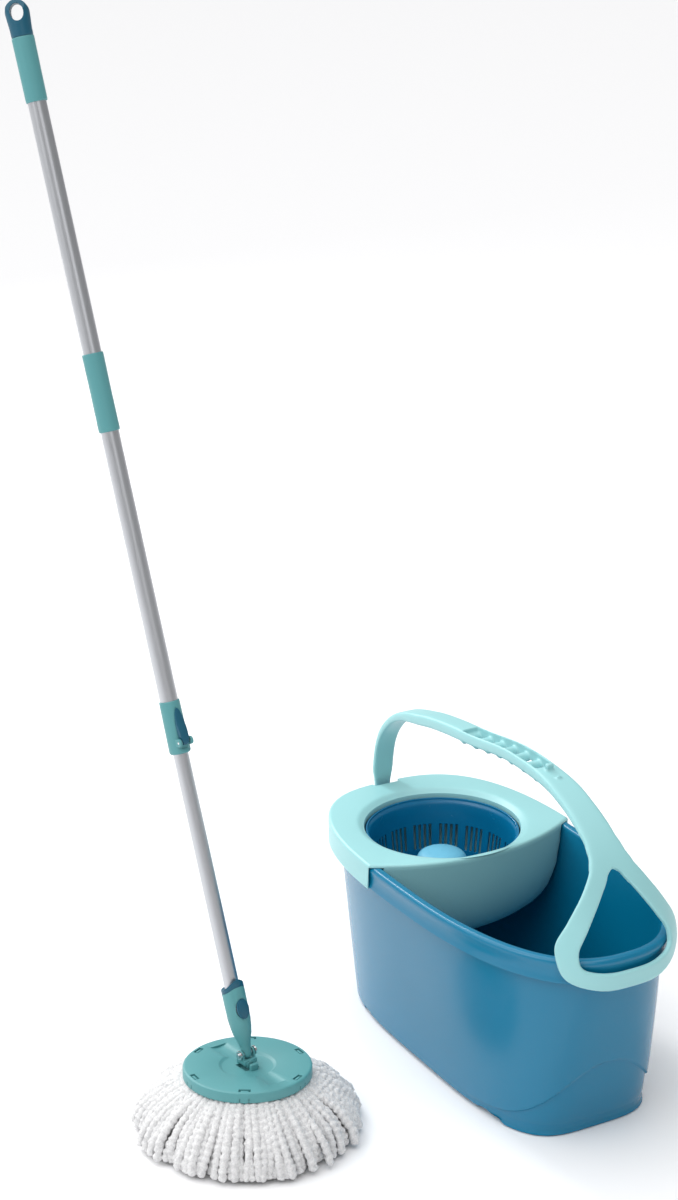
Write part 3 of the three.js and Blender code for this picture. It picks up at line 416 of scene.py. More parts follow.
def insetOval(oval, inset):
    return {**oval, "halfLength": oval["halfLength"] - inset, "halfWidth": oval["halfWidth"] - inset}


def mixOval(low, high, share):
    return {key: low[key] + (high[key] - low[key]) * share for key in low}


wallTopOval = insetOval(rimOval, bucketShape["lip"])


def ovalPoint(oval, turn):
    across = math.cos(fullTurn * turn)
    side = math.sin(fullTurn * turn)
    power = 2 / (oval["front"] if across > 0 else oval["rear"])
    x = oval["halfLength"] * math.copysign(abs(across) ** power, across)
    width = oval["halfWidth"] * (1 - oval["taper"] * x / oval["halfLength"])
    return oval["centre"] + x, width * math.copysign(abs(side) ** power, side)


def insideOval(oval, x, y):
    along = (x - oval["centre"]) / oval["halfLength"]
    power = oval["front"] if along > 0 else oval["rear"]
    width = oval["halfWidth"] * (1 - oval["taper"] * along)
    return abs(along) ** power + abs(y / width) ** power < 1


def ovalReach(oval, angle):
    near, far = 0, 600
    for _ in range(40):
        middle = (near + far) / 2
        if insideOval(oval, basketCentre + middle * math.cos(angle), middle * math.sin(angle)):
            near = middle
        else:
            far = middle
    return near


def ovalRing(oval, height):
    def ring(turn):
        return Vector((*ovalPoint(oval, turn), height))
    return ring


def wallOval(height, inset):
    return insetOval(mixOval(bucketShape["baseOval"], wallTopOval, height / bucketHeight), inset)


def smoothStep(low, high, value):
    share = min(max((value - low) / (high - low), 0), 1)
    return share * share * (3 - 2 * share)


# the front end steps in below a line that swings up to a peak at the middle
def swooshHeight(y):
    swoosh = bucketShape["swoosh"]
    lift = math.cos(min(abs(y) / swoosh["halfWidth"], 1) * math.pi / 2) ** swoosh["power"]
    return swoosh["low"] + (swoosh["peak"] - swoosh["low"]) * lift


def wallRing(height, inset, stepped=False):
    oval = wallOval(height, inset)
    swoosh = bucketShape["swoosh"]

    def ring(turn):
        x, y = ovalPoint(oval, turn)
        if stepped and x > swoosh["start"]:
            below = 1 - smoothStep(*swoosh["step"], height - swooshHeight(y))
            deep = swoosh["depth"] * below * smoothStep(swoosh["start"], swoosh["full"], x)
            x, y = ovalPoint(insetOval(oval, deep), turn)
        return Vector((x, y, height))
    return ring


# the foot's underside, lifted between its two ends except along the middle
def footRing(height, inset):
    foot = bucketShape["foot"]
    low = ovalRing(wallOval(0, inset + foot["inset"]), height)
    (start, end), ease = foot["between"], foot["ease"]

    def ring(turn):
        point = low(turn)
        if abs(point.y) > foot["flatHalf"]:
            after = smoothStep(start - ease, start + ease, point.x)
            before = 1 - smoothStep(end - ease, end + ease, point.x)
            point.z += foot["rise"] * after * before
        return point
    return ring


def makeBucket():
    shape = bucketShape
    wall = shape["wall"]
    rings = [footRing(height, inset) for height, inset in shape["footRings"]]
    rings += [wallRing(z, 0, True) for z in shape["stepHeights"]]
    rings += [wallRing(z, 0) for z in shape["outerHeights"]]
    rings += [ovalRing(insetOval(rimOval, inset), bucketHeight - drop) for inset, drop in shape["rimRings"]]
    rings += [wallRing(bucketHeight - drop, inset) for inset, drop in shape["mouthRings"]]
    rings += [wallRing(z, wall) for z in shape["innerHeights"]]
    rings += [wallRing(shape["floor"] + rise, wall + inset) for inset, rise in shape["floorRings"]]
    bucket = ringPiece("bucket_shell", evenTurns(shape["points"]), rings, onBucket)
    lug = shape["lug"]
    lugX = (pivotX - lug["back"], rimOval["centre"] - rimOval["halfLength"] + lug["into"])
    lugs = []
    for side in (-1, 1):
        ys = sorted(side * y for y in lug["across"])
        lugs.append(block("lug", lugX, ys, (pivotZ - lug["up"], pivotZ + lug["up"]), onBucket))
        rounded(lugs[-1], lug["round"])
    slot = shape["slot"]
    reach = wallOval(0, 0)["halfWidth"]
    for side in (-1, 1):
        for x in slot["x"]:
            ys = sorted((side * (reach - slot["inward"]), side * (reach + slot["outward"])))
            cutAway(bucket, block("slot", (x - slot["half"], x + slot["half"]), ys, slot["z"], onBucket))
    bucket = joined([bucket] + lugs, "bucket_shell")
    smoothed(bucket, 38)
    settle(bucket, "bucket", "bucket_blue", finish["bucket"], "bucket")


makeBucket()
print("bucket made")


# ---- insert: one skin round the basket's axis, angle by angle ----
insertShape = {
    "frontReach": 113,
    "arcRadius": 277,
    "gap": 0.3,
    "plate": 3.6,
    "skirtWall": 2.6,
    "bowlWall": 2.6,
    "bowlDepth": 132,
    "bowlRoundness": 3.2,
    "opening": 102,
    "funnel": 113,
    "strapHalf": 19.5,
    "strapRoom": 4,
    "points": 288,
    "plateEdge": [(5, 0), (3, 0.15), (1.2, 1), (0.25, 2.3), (0, 3.4)],  # inset, drop below the plate's top
    "bowlHeights": [252, 246, 235, 220, 205, 190, 175, 162, 151, 142, 135, 130, 127, 125.2, 124.3],
    "boss": [
        (4.3, 128), (4.3, 142), (12, 142), (13, 141), (13, 130), (15, 126), (15, 124.6), (4.3, 124.6)],
}


def arcReach(angle):
    centre = basketCentre + insertShape["frontReach"] - insertShape["arcRadius"]
    offset = basketCentre - centre
    side = offset * math.sin(angle)
    return math.sqrt(insertShape["arcRadius"] ** 2 - side ** 2) - offset * math.cos(angle)


outerOval = insetOval(rimOval, -insertShape["gap"] - insertShape["skirtWall"])


def crossing(oval, low=0.2, high=2.2):
    for _ in range(50):
        middle = (low + high) / 2
        if arcReach(middle) < ovalReach(oval, middle):
            low = middle
        else:
            high = middle
    return low


def makeInsert():
    shape = insertShape
    underside = bucketHeight + shape["gap"]
    top = underside + shape["plate"]
    skirtBottom = bucketHeight - bucketShape["lipDrop"]
    corner = crossing(outerOval)
    behind = rimOval["centre"] - rimOval["halfLength"] + shape["strapRoom"]  # the edge where the strap passes
    notch = math.atan2(shape["strapHalf"], basketCentre - behind)

    def outlineReach(angle, inset):
        folded = abs((angle + math.pi) % fullTurn - math.pi)
        reach = min(arcReach(angle), ovalReach(outerOval, angle)) - inset
        if math.pi - folded < notch:
            reach = min(reach, (basketCentre - behind - inset) / abs(math.cos(angle)))
        return reach

    def skirted(angle):
        folded = abs((angle + math.pi) % fullTurn - math.pi)
        return corner + 0.0006 < folded < math.pi - notch

    def bowlReach(angle, z, wall):
        inside = wallOval(min(z, bucketHeight), bucketShape["wall"] + 1.5)
        share = min(max((bucketHeight - z) / (shape["bowlDepth"] - wall), 0), 0.9995)
        shrink = (1 - share ** shape["bowlRoundness"]) ** (1 / shape["bowlRoundness"])
        return (min(arcReach(angle), ovalReach(inside, angle)) - wall) * shrink

    def ringOf(reach, height):
        def ring(turn):
            angle = fullTurn * turn
            r = reach(angle)
            return Vector((basketCentre + r * math.cos(angle), r * math.sin(angle), height(angle)))
        return ring

    def level(radius, z):
        return ringOf(lambda angle: radius, lambda angle: z)

    def plateRing(inset, z):
        return ringOf(lambda angle: outlineReach(angle, inset), lambda angle: z)

    def skirtRing(inset, z):
        rest = underside + 0.1
        return ringOf(
            lambda angle: outlineReach(angle, inset) if skirted(angle) else outlineReach(angle, 0.2),
            lambda angle: z if skirted(angle) else rest + (z - skirtBottom) * 0.01)

    def bowlRing(z, wall):
        return ringOf(lambda angle: bowlReach(angle, z, wall), lambda angle: z)

    def mixedRing(share, z):
        def reach(angle):
            return shape["funnel"] + 1.5 + share * (outlineReach(angle, 5) - shape["funnel"] - 1.5)
        return ringOf(reach, lambda angle: z)

    collarBottom = top - 13
    opening = shape["opening"]
    funnel = shape["funnel"]
    rings = [
        level(opening + 2.6, collarBottom + 0.5), level(opening + 1.3, collarBottom),
        level(opening, collarBottom + 0.6), level(opening, top - 7.2), level(opening + 0.5, top - 5.6),
        level(opening + 3, top - 4.3), level(funnel - 4.5, top - 1.4), level(funnel - 1.2, top - 0.35),
        level(funnel + 1.5, top), mixedRing(0.5, top)]
    rings += [plateRing(inset, top - drop) for inset, drop in shape["plateEdge"]]
    rings += [
        skirtRing(0, 254), skirtRing(0, 240), skirtRing(0.1, skirtBottom + 0.8), skirtRing(0.8, skirtBottom),
        skirtRing(shape["skirtWall"], skirtBottom), skirtRing(shape["skirtWall"], underside - 0.3)]
    wall = shape["bowlWall"]
    rings += [bowlRing(z, 0) for z in [underside] + shape["bowlHeights"]]
    rings += [bowlRing(z + wall, wall) for z in reversed(shape["bowlHeights"]) if z < 250]
    rings += [bowlRing(underside, wall), level(opening + 4.5, top - 9), level(opening + 2.6, top - 10)]
    steps = shape["points"]
    angles = [number * fullTurn / steps for number in range(steps)]
    for sharp in (corner, math.pi - notch):
        for side in (-1, 1):
            angles += [(side * sharp) % fullTurn + step for step in (-0.0005, 0.001)]
    insideCorner = crossing(wallOval(bucketHeight, bucketShape["wall"] + 1.5))
    angles += [insideCorner, fullTurn - insideCorner]
    turns = sorted(angle / fullTurn for angle in angles)
    insert = ringPiece("insert_shell", turns, rings, onBucket, "join")
    smoothed(insert, 32)
    settle(insert, "insert", "pale_mint", finish["paleMint"], "basket_insert")
    boss = turnedPiece("axle_boss", shape["boss"], onBasket, 48, "join")
    smoothed(boss, 35)
    settle(boss, "insert", "pale_mint", finish["paleMint"])


makeInsert()
print("insert made")


# ---- spin basket ----
basketShape = {
    "groups": 16,
    "facesPerGroup": 20,
    "slots": 4,
    "slotPitch": 4,
    "slotFaces": 2,
    "slotBottom": 180,
    "slotTop": 214,
    "wall": 2.3,
    "profile": [
        (12, 151.5), (30, 151.3), (64, 149), (72, 149.8), (79, 151.5), (83, 154), (86, 158), (88, 164),
        (89.2, 172), (90.1, 180), (92, 197), (93.9, 214), (95.5, 229), (96.8, 241), (97.6, 243.4), (99, 244.6),
        (100, 246.5), (100, 249.4)],
    "tube": [(7.3, 150), (12, 150), (12, 171), (7.3, 171)],
    "hubWall": 2.2,
    "hub": [
        (32, 152), (33.5, 151.8), (35, 160), (34.6, 185), (34, 200), (33.2, 206), (31.6, 210.2), (29, 213.2),
        (25, 215.6), (18, 217.4), (8, 218.3), (0.6, 218.5)],
}


def makeBasket():
    shape = basketShape
    sides = shape["groups"] * shape["facesPerGroup"]
    basket = turnedPiece("basket_shell", shape["profile"], onBasket, sides, "open")
    onlySelect(basket)
    bpy.ops.object.mode_set(mode="EDIT")
    bpy.ops.mesh.select_all(action="DESELECT")
    bpy.ops.mesh.select_mode(type="FACE")
    mesh = bmesh.from_edit_mesh(basket.data)
    back = onBasket.inverted()
    for face in mesh.faces:
        middle = back @ face.calc_center_median()
        step = int((math.atan2(middle.y, middle.x) % fullTurn) / fullTurn * sides) % shape["facesPerGroup"]
        slotted = step < shape["slots"] * shape["slotPitch"]
        slotted = slotted and step % shape["slotPitch"] < shape["slotFaces"]
        if slotted and shape["slotBottom"] < middle.z < shape["slotTop"]:
            face.select_set(True)
    bmesh.update_edit_mesh(basket.data)
    bpy.ops.mesh.delete(type="FACE")
    bpy.ops.mesh.select_mode(type="VERT")
    bpy.ops.object.mode_set(mode="OBJECT")
    applyModifier(basket, "SOLIDIFY", thickness=shape["wall"] * mm, offset=-1.0, use_rim=True)
    rounded(basket, 0.35, 50, 1)
    smoothed(basket, 40)
    settle(basket, "basket", "deep_blue", finish["deepBlue"], "spin_basket")
    tube = turnedPiece("basket_tube", shape["tube"], onBasket, 40, "join")
    smoothed(tube, 35)
    settle(tube, "basket", "deep_blue", finish["deepBlue"])
    hub = turnedPiece("hub_cap", shape["hub"], onBasket, 80, "open")
    cleanFaces(hub)
    applyModifier(hub, "SOLIDIFY", thickness=shape["hubWall"] * mm, offset=-1.0, use_rim=True)
    editMesh(hub, bpy.ops.mesh.fill_holes, sides=0)
    smoothed(hub, 40)
    settle(hub, "basket", "sky_blue", finish["skyBlue"], "basket_hub")


makeBasket()
print("spin basket made")


# ---- carry handle ----
gripDepth = 16  # of the grip's channel, from the strap's outer face
handleShape = {
    "thickness": 7,
    "lipGap": 2,
    "edgePower": 0.36,
    "holeRise": 101,
    "bend": (-90, 95),  # where the strap starts and ends to follow the lip, from the hole's top
    "strapRings": 140,
    "strapPast": 30,
    "holeRings": 40,
    "cut": (-16, 12),
    "loopRings": 150,
    "stations": [
        (0, -18), (0.002, 6), (0.004, 29), (0.017, 65), (0.043, 92), (0.101, 120), (0.209, 140), (0.294, 149),
        (0.417, 157), (0.573, 168), (0.725, 161), (0.836, 135), (0.91, 101), (0.96, 49), (0.994, 9),
        (1, -6), (1, -24), (1, -44)],
    "widths": [
        (0, 11.5), (16, 11.5), (42, 15), (260, 15), (400, 15.5), (490, 16.5), (560, 19.5), (620, 21.5),
        (640, 24.5), (662, 31), (690, 44)],
    "depths": [
        (0, 7), (60, 7), (130, 10), (230, gripDepth), (480, gripDepth), (560, 11), (640, 8), (690, 7)],
    "loopOutside": [
        (0, -20), (22.6, -4.9), (34, 12.5), (45.2, 30), (67.5, 64.4), (84.8, 98.9), (77.3, 134.2),
        (44, 148.8)],
    "loopInside": [
        (0, 8.7), (8.2, 13.4), (14.6, 23.5), (27, 42), (48.5, 75.6), (63.2, 103.1), (60.7, 119.8),
        (40, 127.2)],
    "loopEnds": (151, 129),
    "gripStart": 330,
    "gripCut": (-24, 12),
    "slots": 6,
    "slotLength": 22,
    "rib": 6,
    "slotHalf": 11.8,
    "rollLength": 6.4,
    "rollHeight": 6,
    "rollDrop": 2.6,
    "hook": [(0, 6, 5, 8), (22, 25, 3, 2.6)],  # start, stop, half width, rise over the grip
    "eye": {"radius": 6.5, "half": 11.5, "bore": 2.8, "boreHalf": 25},
    "voxel": 1.2,
}


# Centripetal curve through points.
def curveThrough(points, closed=False):
    count = len(points)

    def at(share):
        position = (count - (0 if closed else 1)) * share
        index = math.floor(position)
        weight = position - index
        if not closed and index >= count - 1:
            index, weight = count - 2, 1.0
        first = points[(index - 1) % count] if closed or index > 0 else 2 * points[0] - points[1]
        a, b = points[index % count], points[(index + 1) % count]
        last = points[(index + 2) % count] if closed or index + 2 < count else 2 * points[-1] - points[-2]
        d0, d1, d2 = [max((q - p).length ** 0.5, 1e-4) for p, q in ((first, a), (a, b), (b, last))]
        t1 = ((a - first) / d0 - (b - first) / (d0 + d1) + (b - a) / d1) * d1
        t2 = ((b - a) / d1 - (last - a) / (d1 + d2) + (last - b) / d2) * d1
        square, cube = 3 * (b - a) - 2 * t1 - t2, 2 * (a - b) + t1 + t2
        return a + t1 * weight + square * weight ** 2 + cube * weight ** 3
    return at


# The same curve, read by distance along it.
def centripetal(points, samples=1600):
    at = curveThrough(points)
    line = [at(number / samples) for number in range(samples + 1)]
    lengths = [0.0]
    for p, q in zip(line, line[1:]):
        lengths.append(lengths[-1] + (q - p).length)

    def pointAt(distance):
        distance = min(max(distance, 0), lengths[-1])
        after = min(max(bisect.bisect_left(lengths, distance), 1), samples)
        share = (distance - lengths[after - 1]) / max(lengths[after] - lengths[after - 1], 1e-9)
        return line[after - 1].lerp(line[after], share)
    return pointAt, lengths[-1]


lipOffset = handleShape["lipGap"] + handleShape["thickness"] / 2
noseX = rimOval["centre"] + rimOval["halfLength"] + lipOffset
handlePath, handleLength = centripetal([
    Vector((pivotX + (noseX - pivotX) * share, 0, bucketHeight + rise))
    for share, rise in handleShape["stations"]])


def heightDistance(height):
    top, bottom = handleLength * 0.7, handleLength
    for _ in range(40):
        middle = (top + bottom) / 2
        if handlePath(middle).z > height:
            top = middle
        else:
            bottom = middle
    return top


holeTop = heightDistance(bucketHeight + handleShape["holeRise"])


def makeLipCurve():
    curve = []
    for number in range(181):
        turn = number / 720
        here = Vector(ovalPoint(rimOval, turn))
        along = (Vector(ovalPoint(rimOval, turn + 0.0003)) - here).normalized()
        curve.append((here.y - along.x * lipOffset, here.x + along.y * lipOffset))
    return curve


lipCurve = makeLipCurve()


def fallBack(side):
    after = min(max(bisect.bisect_left(lipCurve, (abs(side), 0)), 1), len(lipCurve) - 1)
    (y0, x0), (y1, x1) = lipCurve[after - 1], lipCurve[after]
    share = min(max((abs(side) - y0) / (y1 - y0), 0), 1)
    return lipCurve[0][1] - (x0 + (x1 - x0) * share)


def sheetPoint(distance, side, height):
    bendStart, bendEnd = handleShape["bend"]

    def place(s, v):
        p = handlePath(s)
        return Vector((p.x - smoothStep(holeTop + bendStart, holeTop + bendEnd, s) * fallBack(v), v, p.z))
    along = place(distance + 0.5, side) - place(distance - 0.5, side)
    across = place(distance, side + 0.5) - place(distance, side - 0.5)
    return place(distance, side) + along.cross(across).normalized() * height


def valueAt(stations, distance):
    for (s0, v0), (s1, v1) in zip(stations, stations[1:]):
        if distance < s1:
            return v0 + (v1 - v0) * smoothStep(s0, s1, distance)
    return stations[-1][1]


# rounded bar: sideways and height at a turn round its edge, the outer face staying put
def barEdge(turn, halfWidth, depth):
    power = handleShape["edgePower"]
    across, up = math.cos(fullTurn * turn), math.sin(fullTurn * turn)
    side = math.copysign(abs(across) ** power, across)
    high = math.copysign(abs(up) ** power, up)
    return side * halfWidth, high * depth / 2 + (handleShape["thickness"] - depth) / 2


# A run of rings on the handle's sheet; section(distance) gives (side, height) corners.
def sheetRun(distances, section):
    def cornerRing(distance):
        corners = section(distance)
        return lambda turn: sheetPoint(distance, *corners[round(turn * len(corners)) % len(corners)])
    rings = [cornerRing(distance) for distance in distances]
    return ringPiece("grip_part", evenTurns(len(section(distances[0]))), rings, onBucket)


def boxCorners(half, low, high):
    return [(-half, low), (half, low), (half, high), (-half, high)]


def sheetBlock(start, stop, half, low, high):
    return sheetRun([start, (start + stop) / 2, stop], lambda distance: boxCorners(half, low, high))


# a cross roll between the grip's side walls, oval from the side
def gripRoll(distance, half, low):
    shape = handleShape
    middle = low + shape["rollHeight"]

    def rollRing(side):
        def ring(turn):
            spin = fullTurn * turn
            away, high = shape["rollLength"] * math.cos(spin), shape["rollHeight"] * math.sin(spin)
            return sheetPoint(distance + away, side, middle + high)
        return ring
    return ringPiece("grip_roll", evenTurns(24), [rollRing(side) for side in (-half, 0, half)], onBucket)


def makeHandle():
    shape = handleShape
    thick = shape["thickness"]
    edgeTurns = evenTurns(32)

    def strapRing(distance):
        half, depth = valueAt(shape["widths"], distance), valueAt(shape["depths"], distance)

        def ring(turn):
            return sheetPoint(distance, *barEdge(turn, half, depth))
        return ring

    end, count = holeTop + shape["strapPast"], shape["strapRings"]
    strapRings = [strapRing(1 + (end - 1) * n / count) for n in range(count + 1)]
    strap = ringPiece("handle_body", edgeTurns, strapRings, onBucket)

    def outline(half, last):
        points = half + [(0, last)] + [(-side, down) for side, down in reversed(half[1:])]
        return curveThrough([Vector((side, down, 0)) for side, down in points], True)

    outside = outline(shape["loopOutside"], shape["loopEnds"][0])
    inside = outline(shape["loopInside"], shape["loopEnds"][1])

    count = shape["holeRings"]
    upper = [inside(0.002 + 0.2 * (n / count) ** 2) for n in range(count + 1)]
    halfAt = {holeTop + point.y: point.x for point in upper}
    cutAway(strap, sheetRun(list(halfAt), lambda distance: boxCorners(halfAt[distance], *shape["cut"])))
    step = shape["slotLength"] + shape["rib"]
    gripEnd = shape["gripStart"] + shape["slots"] * step
    half = shape["slotHalf"]
    start, stop = shape["gripStart"] - shape["rib"] / 2, gripEnd - shape["rib"] / 2
    channel = [start + (stop - start) * n / 24 for n in range(25)]
    cutAway(strap, sheetRun(channel, lambda distance: boxCorners(half, *shape["gripCut"])))
    low = thick / 2 - gripDepth - shape["rollDrop"]
    parts = [strap]
    for number in range(shape["slots"] + 1):
        parts.append(gripRoll(start + number * step, half + 1, low))
    for first, last, hookHalf, rise in shape["hook"]:
        parts.append(sheetBlock(gripEnd + 3 + first, gripEnd + 3 + last, hookHalf, -2, thick / 2 + rise))

    def loopRing(share):
        near, far = inside(share), outside(share)
        middle, reach = (near + far) / 2, (far - near).length / 2
        out = (far - near).normalized()

        def ring(turn):
            away, high = barEdge(turn, reach, thick)
            return sheetPoint(holeTop + middle.y + away * out.y, middle.x + away * out.x, high)
        return ring

    count = shape["loopRings"]
    parts.append(ringPiece("loop", edgeTurns, [loopRing(n / count) for n in range(count)], onBucket, "join"))
    eye = shape["eye"]
    lying = onBucket @ Matrix.Translation((pivotX, 0, pivotZ)) @ Matrix.Rotation(math.pi / 2, 4, "X")
    parts.append(turnedPiece("eye", [(eye["radius"], -eye["half"]), (eye["radius"], eye["half"])], lying, 40))
    handle = joined(parts, "handle_body")
    applyModifier(handle, "REMESH", mode="VOXEL", voxel_size=shape["voxel"] * mm)
    applyModifier(handle, "SMOOTH", factor=0.5, iterations=6)
    boreEnds = [(eye["bore"], -eye["boreHalf"]), (eye["bore"], eye["boreHalf"])]
    cutAway(handle, turnedPiece("bore", boreEnds, lying, 24))
    smoothed(handle, 60)
    settle(handle, "handle", "pale_mint", finish["paleMint"], "bucket_handle")


makeHandle()
print("carry handle made")


# ---- mop head ----
headShape = {
    "radius": 78.5,
    "height": 13,
    "wall": 2.6,
    "dishRadius": 35,
    "dishDepth": 2.6,
    "troughRadius": 30,
    "troughHalfWidth": 12.4,
    "troughHalfLength": 63,
    "pocket": (11, 10.2, 7.5),
    "latches": 6,
    "latchRadius": 71,
    "latchHalf": (3.2, 7.2),
    "latchDepth": 8,
    "notchTurn": 0.07,
    "notch": {"deep": 1.4, "half": 0.7, "z": (-14, -7)},
    "cradle": {"x": (10.8, 16), "half": 5.5, "z": (-4, 5.6), "round": 1.6},
    "troughTurn": math.radians(7.3),
}


def makeDisc():
    shape = headShape
    radius = shape["radius"]
    height = shape["height"]
    dish = shape["dishDepth"]
    edge = shape["dishRadius"]
    skirt = radius - shape["wall"]
    profile = [
        (0.4, -dish), (edge - 4.5, -dish), (edge - 3, -dish + 0.5), (edge - 0.9, -0.5), (edge + 0.4, 0),
        (radius - 3.2, 0), (radius - 1.7, -0.25), (radius - 0.6, -1.1), (radius, -2.8), (radius, -height + 0.6),
        (radius - 0.6, -height), (skirt, -height), (skirt, -4.9), (30, -5.4), (24, -10), (0.4, -10)]
    disc = turnedPiece("disc_plate", profile, onHead, 192)
    lying = Matrix.Rotation(math.pi / 2, 4, "Y")
    raised = math.sqrt(shape["troughRadius"] ** 2 - shape["troughHalfWidth"] ** 2)
    trough = [(shape["troughRadius"], side * shape["troughHalfLength"]) for side in (-1, 1)]
    cutAway(disc, turnedPiece("trough", trough, onHead @ Matrix.Translation((0, 0, raised)) @ lying, 160))
    long, wide, deep = shape["pocket"]
    cutters = [block("cut", (-long, long), (-wide, wide), (-deep, 2), onHead)]
    for number in range(shape["latches"]):
        angle = (number + 0.5) * fullTurn / shape["latches"] - shape["troughTurn"]
        spun = onHead @ Matrix.Rotation(angle, 4, "Z")
        out, (latchX, latchY) = shape["latchRadius"], shape["latchHalf"]
        size = ((out - latchX, out + latchX), (-latchY, latchY), (-shape["latchDepth"], 1))
        cutters.append(block("cut", *size, spun))
        for side in (-1, 1):
            notch = shape["notch"]
            size = ((radius - notch["deep"], radius + 1), (-notch["half"], notch["half"]), notch["z"])
            cutters.append(block("cut", *size, spun @ Matrix.Rotation(side * shape["notchTurn"], 4, "Z")))
    cutAway(disc, joined(cutters, "cutters"))
    cradles, cradle = [], shape["cradle"]
    for side in (-1, 1):
        xs = sorted(side * x for x in cradle["x"])
        cradles.append(block("cradle", xs, (-cradle["half"], cradle["half"]), cradle["z"], onHead))
        rounded(cradles[-1], cradle["round"])
    disc = joined([disc] + cradles, "disc_plate")
    smoothed(disc, 30)
    settle(disc, "head", "mid_mint", finish["midMint"], "mop_disc")


makeDisc()
print("disc made")

strandShape = {
    "layers": [
        {"name": "cords_upper", "cords": 64, "start": 73, "ground": 135, "bulge": 1.0, "radius": 4.9},
        {"name": "cords_middle", "cords": 64, "start": 69, "ground": 132, "bulge": 0.9, "radius": 4.9},
        {"name": "cords_inner", "cords": 60, "start": 61, "ground": 120, "bulge": 0.72, "radius": 5},
    ],
    "sides": 12,
    "steps": 58,
    "rootDepth": 17.5,
    "points": 8,
    "swell": {"size": 17, "power": 0.8, "pace": 1.02},
    "swayPace": 4.2,
    "turnJitter": 0.18,
    "sway": 3,
    "reach": (-9, 5),
    "thickness": (0.9, 1.1),
    "beat": {"size": 0.12, "pace": 0.8},
    "lumps": [(6, 0.42, 1.7), (5, 0.16, 1.3)],  # offset outward, scale, size
    "taper": {"start": 0.955, "length": 0.046},
    "lowest": 0.35,
}


# Each cord leaves the ring under the disc, arches outward and comes down on the floor.
def cordPath(layer, angle, sway, reach):
    out = Vector((math.cos(angle), math.sin(angle), 0))
    side = Vector((-math.sin(angle), math.cos(angle), 0))
    turned = angle - headShape["troughTurn"]
    start = onHead @ Vector((
        layer["start"] * math.cos(turned), layer["start"] * math.sin(turned), -strandShape["rootDepth"]))
    foot = Vector((headOrigin.x, headOrigin.y, 0)) + out * (layer["ground"] + reach) * mm
    foot.z = layer["radius"] * mm
    swell, count = strandShape["swell"], strandShape["points"]
    points = []
    for number in range(count + 1):
        share = number / count
        point = start.lerp(foot, share)
        arch = math.sin(math.pi * min(share * swell["pace"], 1)) ** swell["power"] * swell["size"]
        point += out * arch * layer["bulge"] * mm
        point += side * sway * math.sin(share * strandShape["swayPace"]) * mm
        points.append(point / mm)
    return points


def makeCords(layer, number):
    shape = strandShape
    chance = random.Random(31 + number)
    bpy.ops.object.select_all(action="DESELECT")
    bpy.ops.mesh.primitive_circle_add(vertices=shape["sides"], radius=1)
    piece = bpy.context.object
    piece.name = layer["name"]
    sides, steps, taper = shape["sides"], shape["steps"], shape["taper"]
    mesh = bmesh.new()
    for cord in range(layer["cords"]):
        jitter = chance.uniform(-shape["turnJitter"], shape["turnJitter"])
        angle = (cord + 0.5 * number + jitter) * fullTurn / layer["cords"]
        sway, reach = chance.uniform(-shape["sway"], shape["sway"]), chance.uniform(*shape["reach"])
        pointAt, length = centripetal(cordPath(layer, angle, sway, reach), 120)
        thick = layer["radius"] * chance.uniform(*shape["thickness"])
        seed = Vector((chance.uniform(0, 900), chance.uniform(0, 900), chance.uniform(0, 900)))
        rows = []
        for step in range(steps + 1):
            share = step / steps
            here = pointAt(length * share)
            along = (pointAt(length * share + 0.6) - pointAt(length * share - 0.6)).normalized()
            across = along.cross(Vector((0, 0, 1))).normalized()
            up = across.cross(along)
            end = math.sqrt(max(1 - (max(share - taper["start"], 0) / taper["length"]) ** 2, 0.02))
            beat = 1 + shape["beat"]["size"] * math.sin(share * length * shape["beat"]["pace"] + seed.x)
            row = []
            for turn in range(sides):
                spin = fullTurn * turn / sides
                outward = across * math.cos(spin) + up * math.sin(spin)
                rough = 0
                for offset, scale, size in shape["lumps"]:
                    rough += noise.noise((here + outward * offset + seed) * scale) * size
                place = here + outward * (thick * end * beat + rough * end)
                place.z = max(place.z, shape["lowest"])
                row.append(mesh.verts.new(place * mm))
            rows.append(row)
        for low, high in zip(rows, rows[1:]):
            for turn in range(sides):
                ahead = (turn + 1) % sides
                mesh.faces.new((low[turn], low[ahead], high[ahead], high[turn]))
        mesh.faces.new(rows[0][::-1])
        mesh.faces.new(rows[-1])
    bmesh.ops.recalc_face_normals(mesh, faces=mesh.faces)
    mesh.to_mesh(piece.data)
    mesh.free()
    onlySelect(piece)
    bpy.ops.object.shade_smooth()
    return piece


for number, layer in enumerate(strandShape["layers"]):
    cords = makeCords(layer, number)
    settle(cords, "head", "yarn", finish["yarn"], *(["mop_strands"] if number == 0 else []))
print("cords made")


# ---- joint and stick ----
stickShape = {
    "lowerRadius": 9.25,
    "mainRadius": 11,
    "tubeWall": 1,
    "tubeEdge": 0.25,
    "lowerTube": (27, 470),
    "mainTube": (383, 810),
    "upperTube": (811, 1215),
    "gripGap": 0.3,
    "middleGrip": {"radius": 12.7, "bottom": 765, "top": 858, "waist": 0.25},
    "topGrip": [
        (12.1, 1153), (12.5, 1153.6), (12.7, 1156), (12.9, 1190), (13.2, 1226), (13.1, 1227.5), (12.8, 1228)],
}


def tubeProfile(radius, bottom, top):
    inner = radius - stickShape["tubeWall"]
    edge = stickShape["tubeEdge"]
    return [
        (inner, bottom + edge), (inner + edge, bottom), (radius - edge, bottom), (radius, bottom + edge),
        (radius, top - edge), (radius - edge, top), (inner + edge, top), (inner, top - edge)]


def gripProfile(bore, radius, bottom, top, waist):
    middle = (bottom + top) / 2
    return [
        (bore, bottom), (radius - 0.9, bottom), (radius - 0.3, bottom + 0.5), (radius, bottom + 2),
        (radius, bottom + 4), (radius - waist, middle), (radius, top - 4), (radius, top - 2),
        (radius - 0.3, top - 0.5), (radius - 0.9, top), (bore, top)]


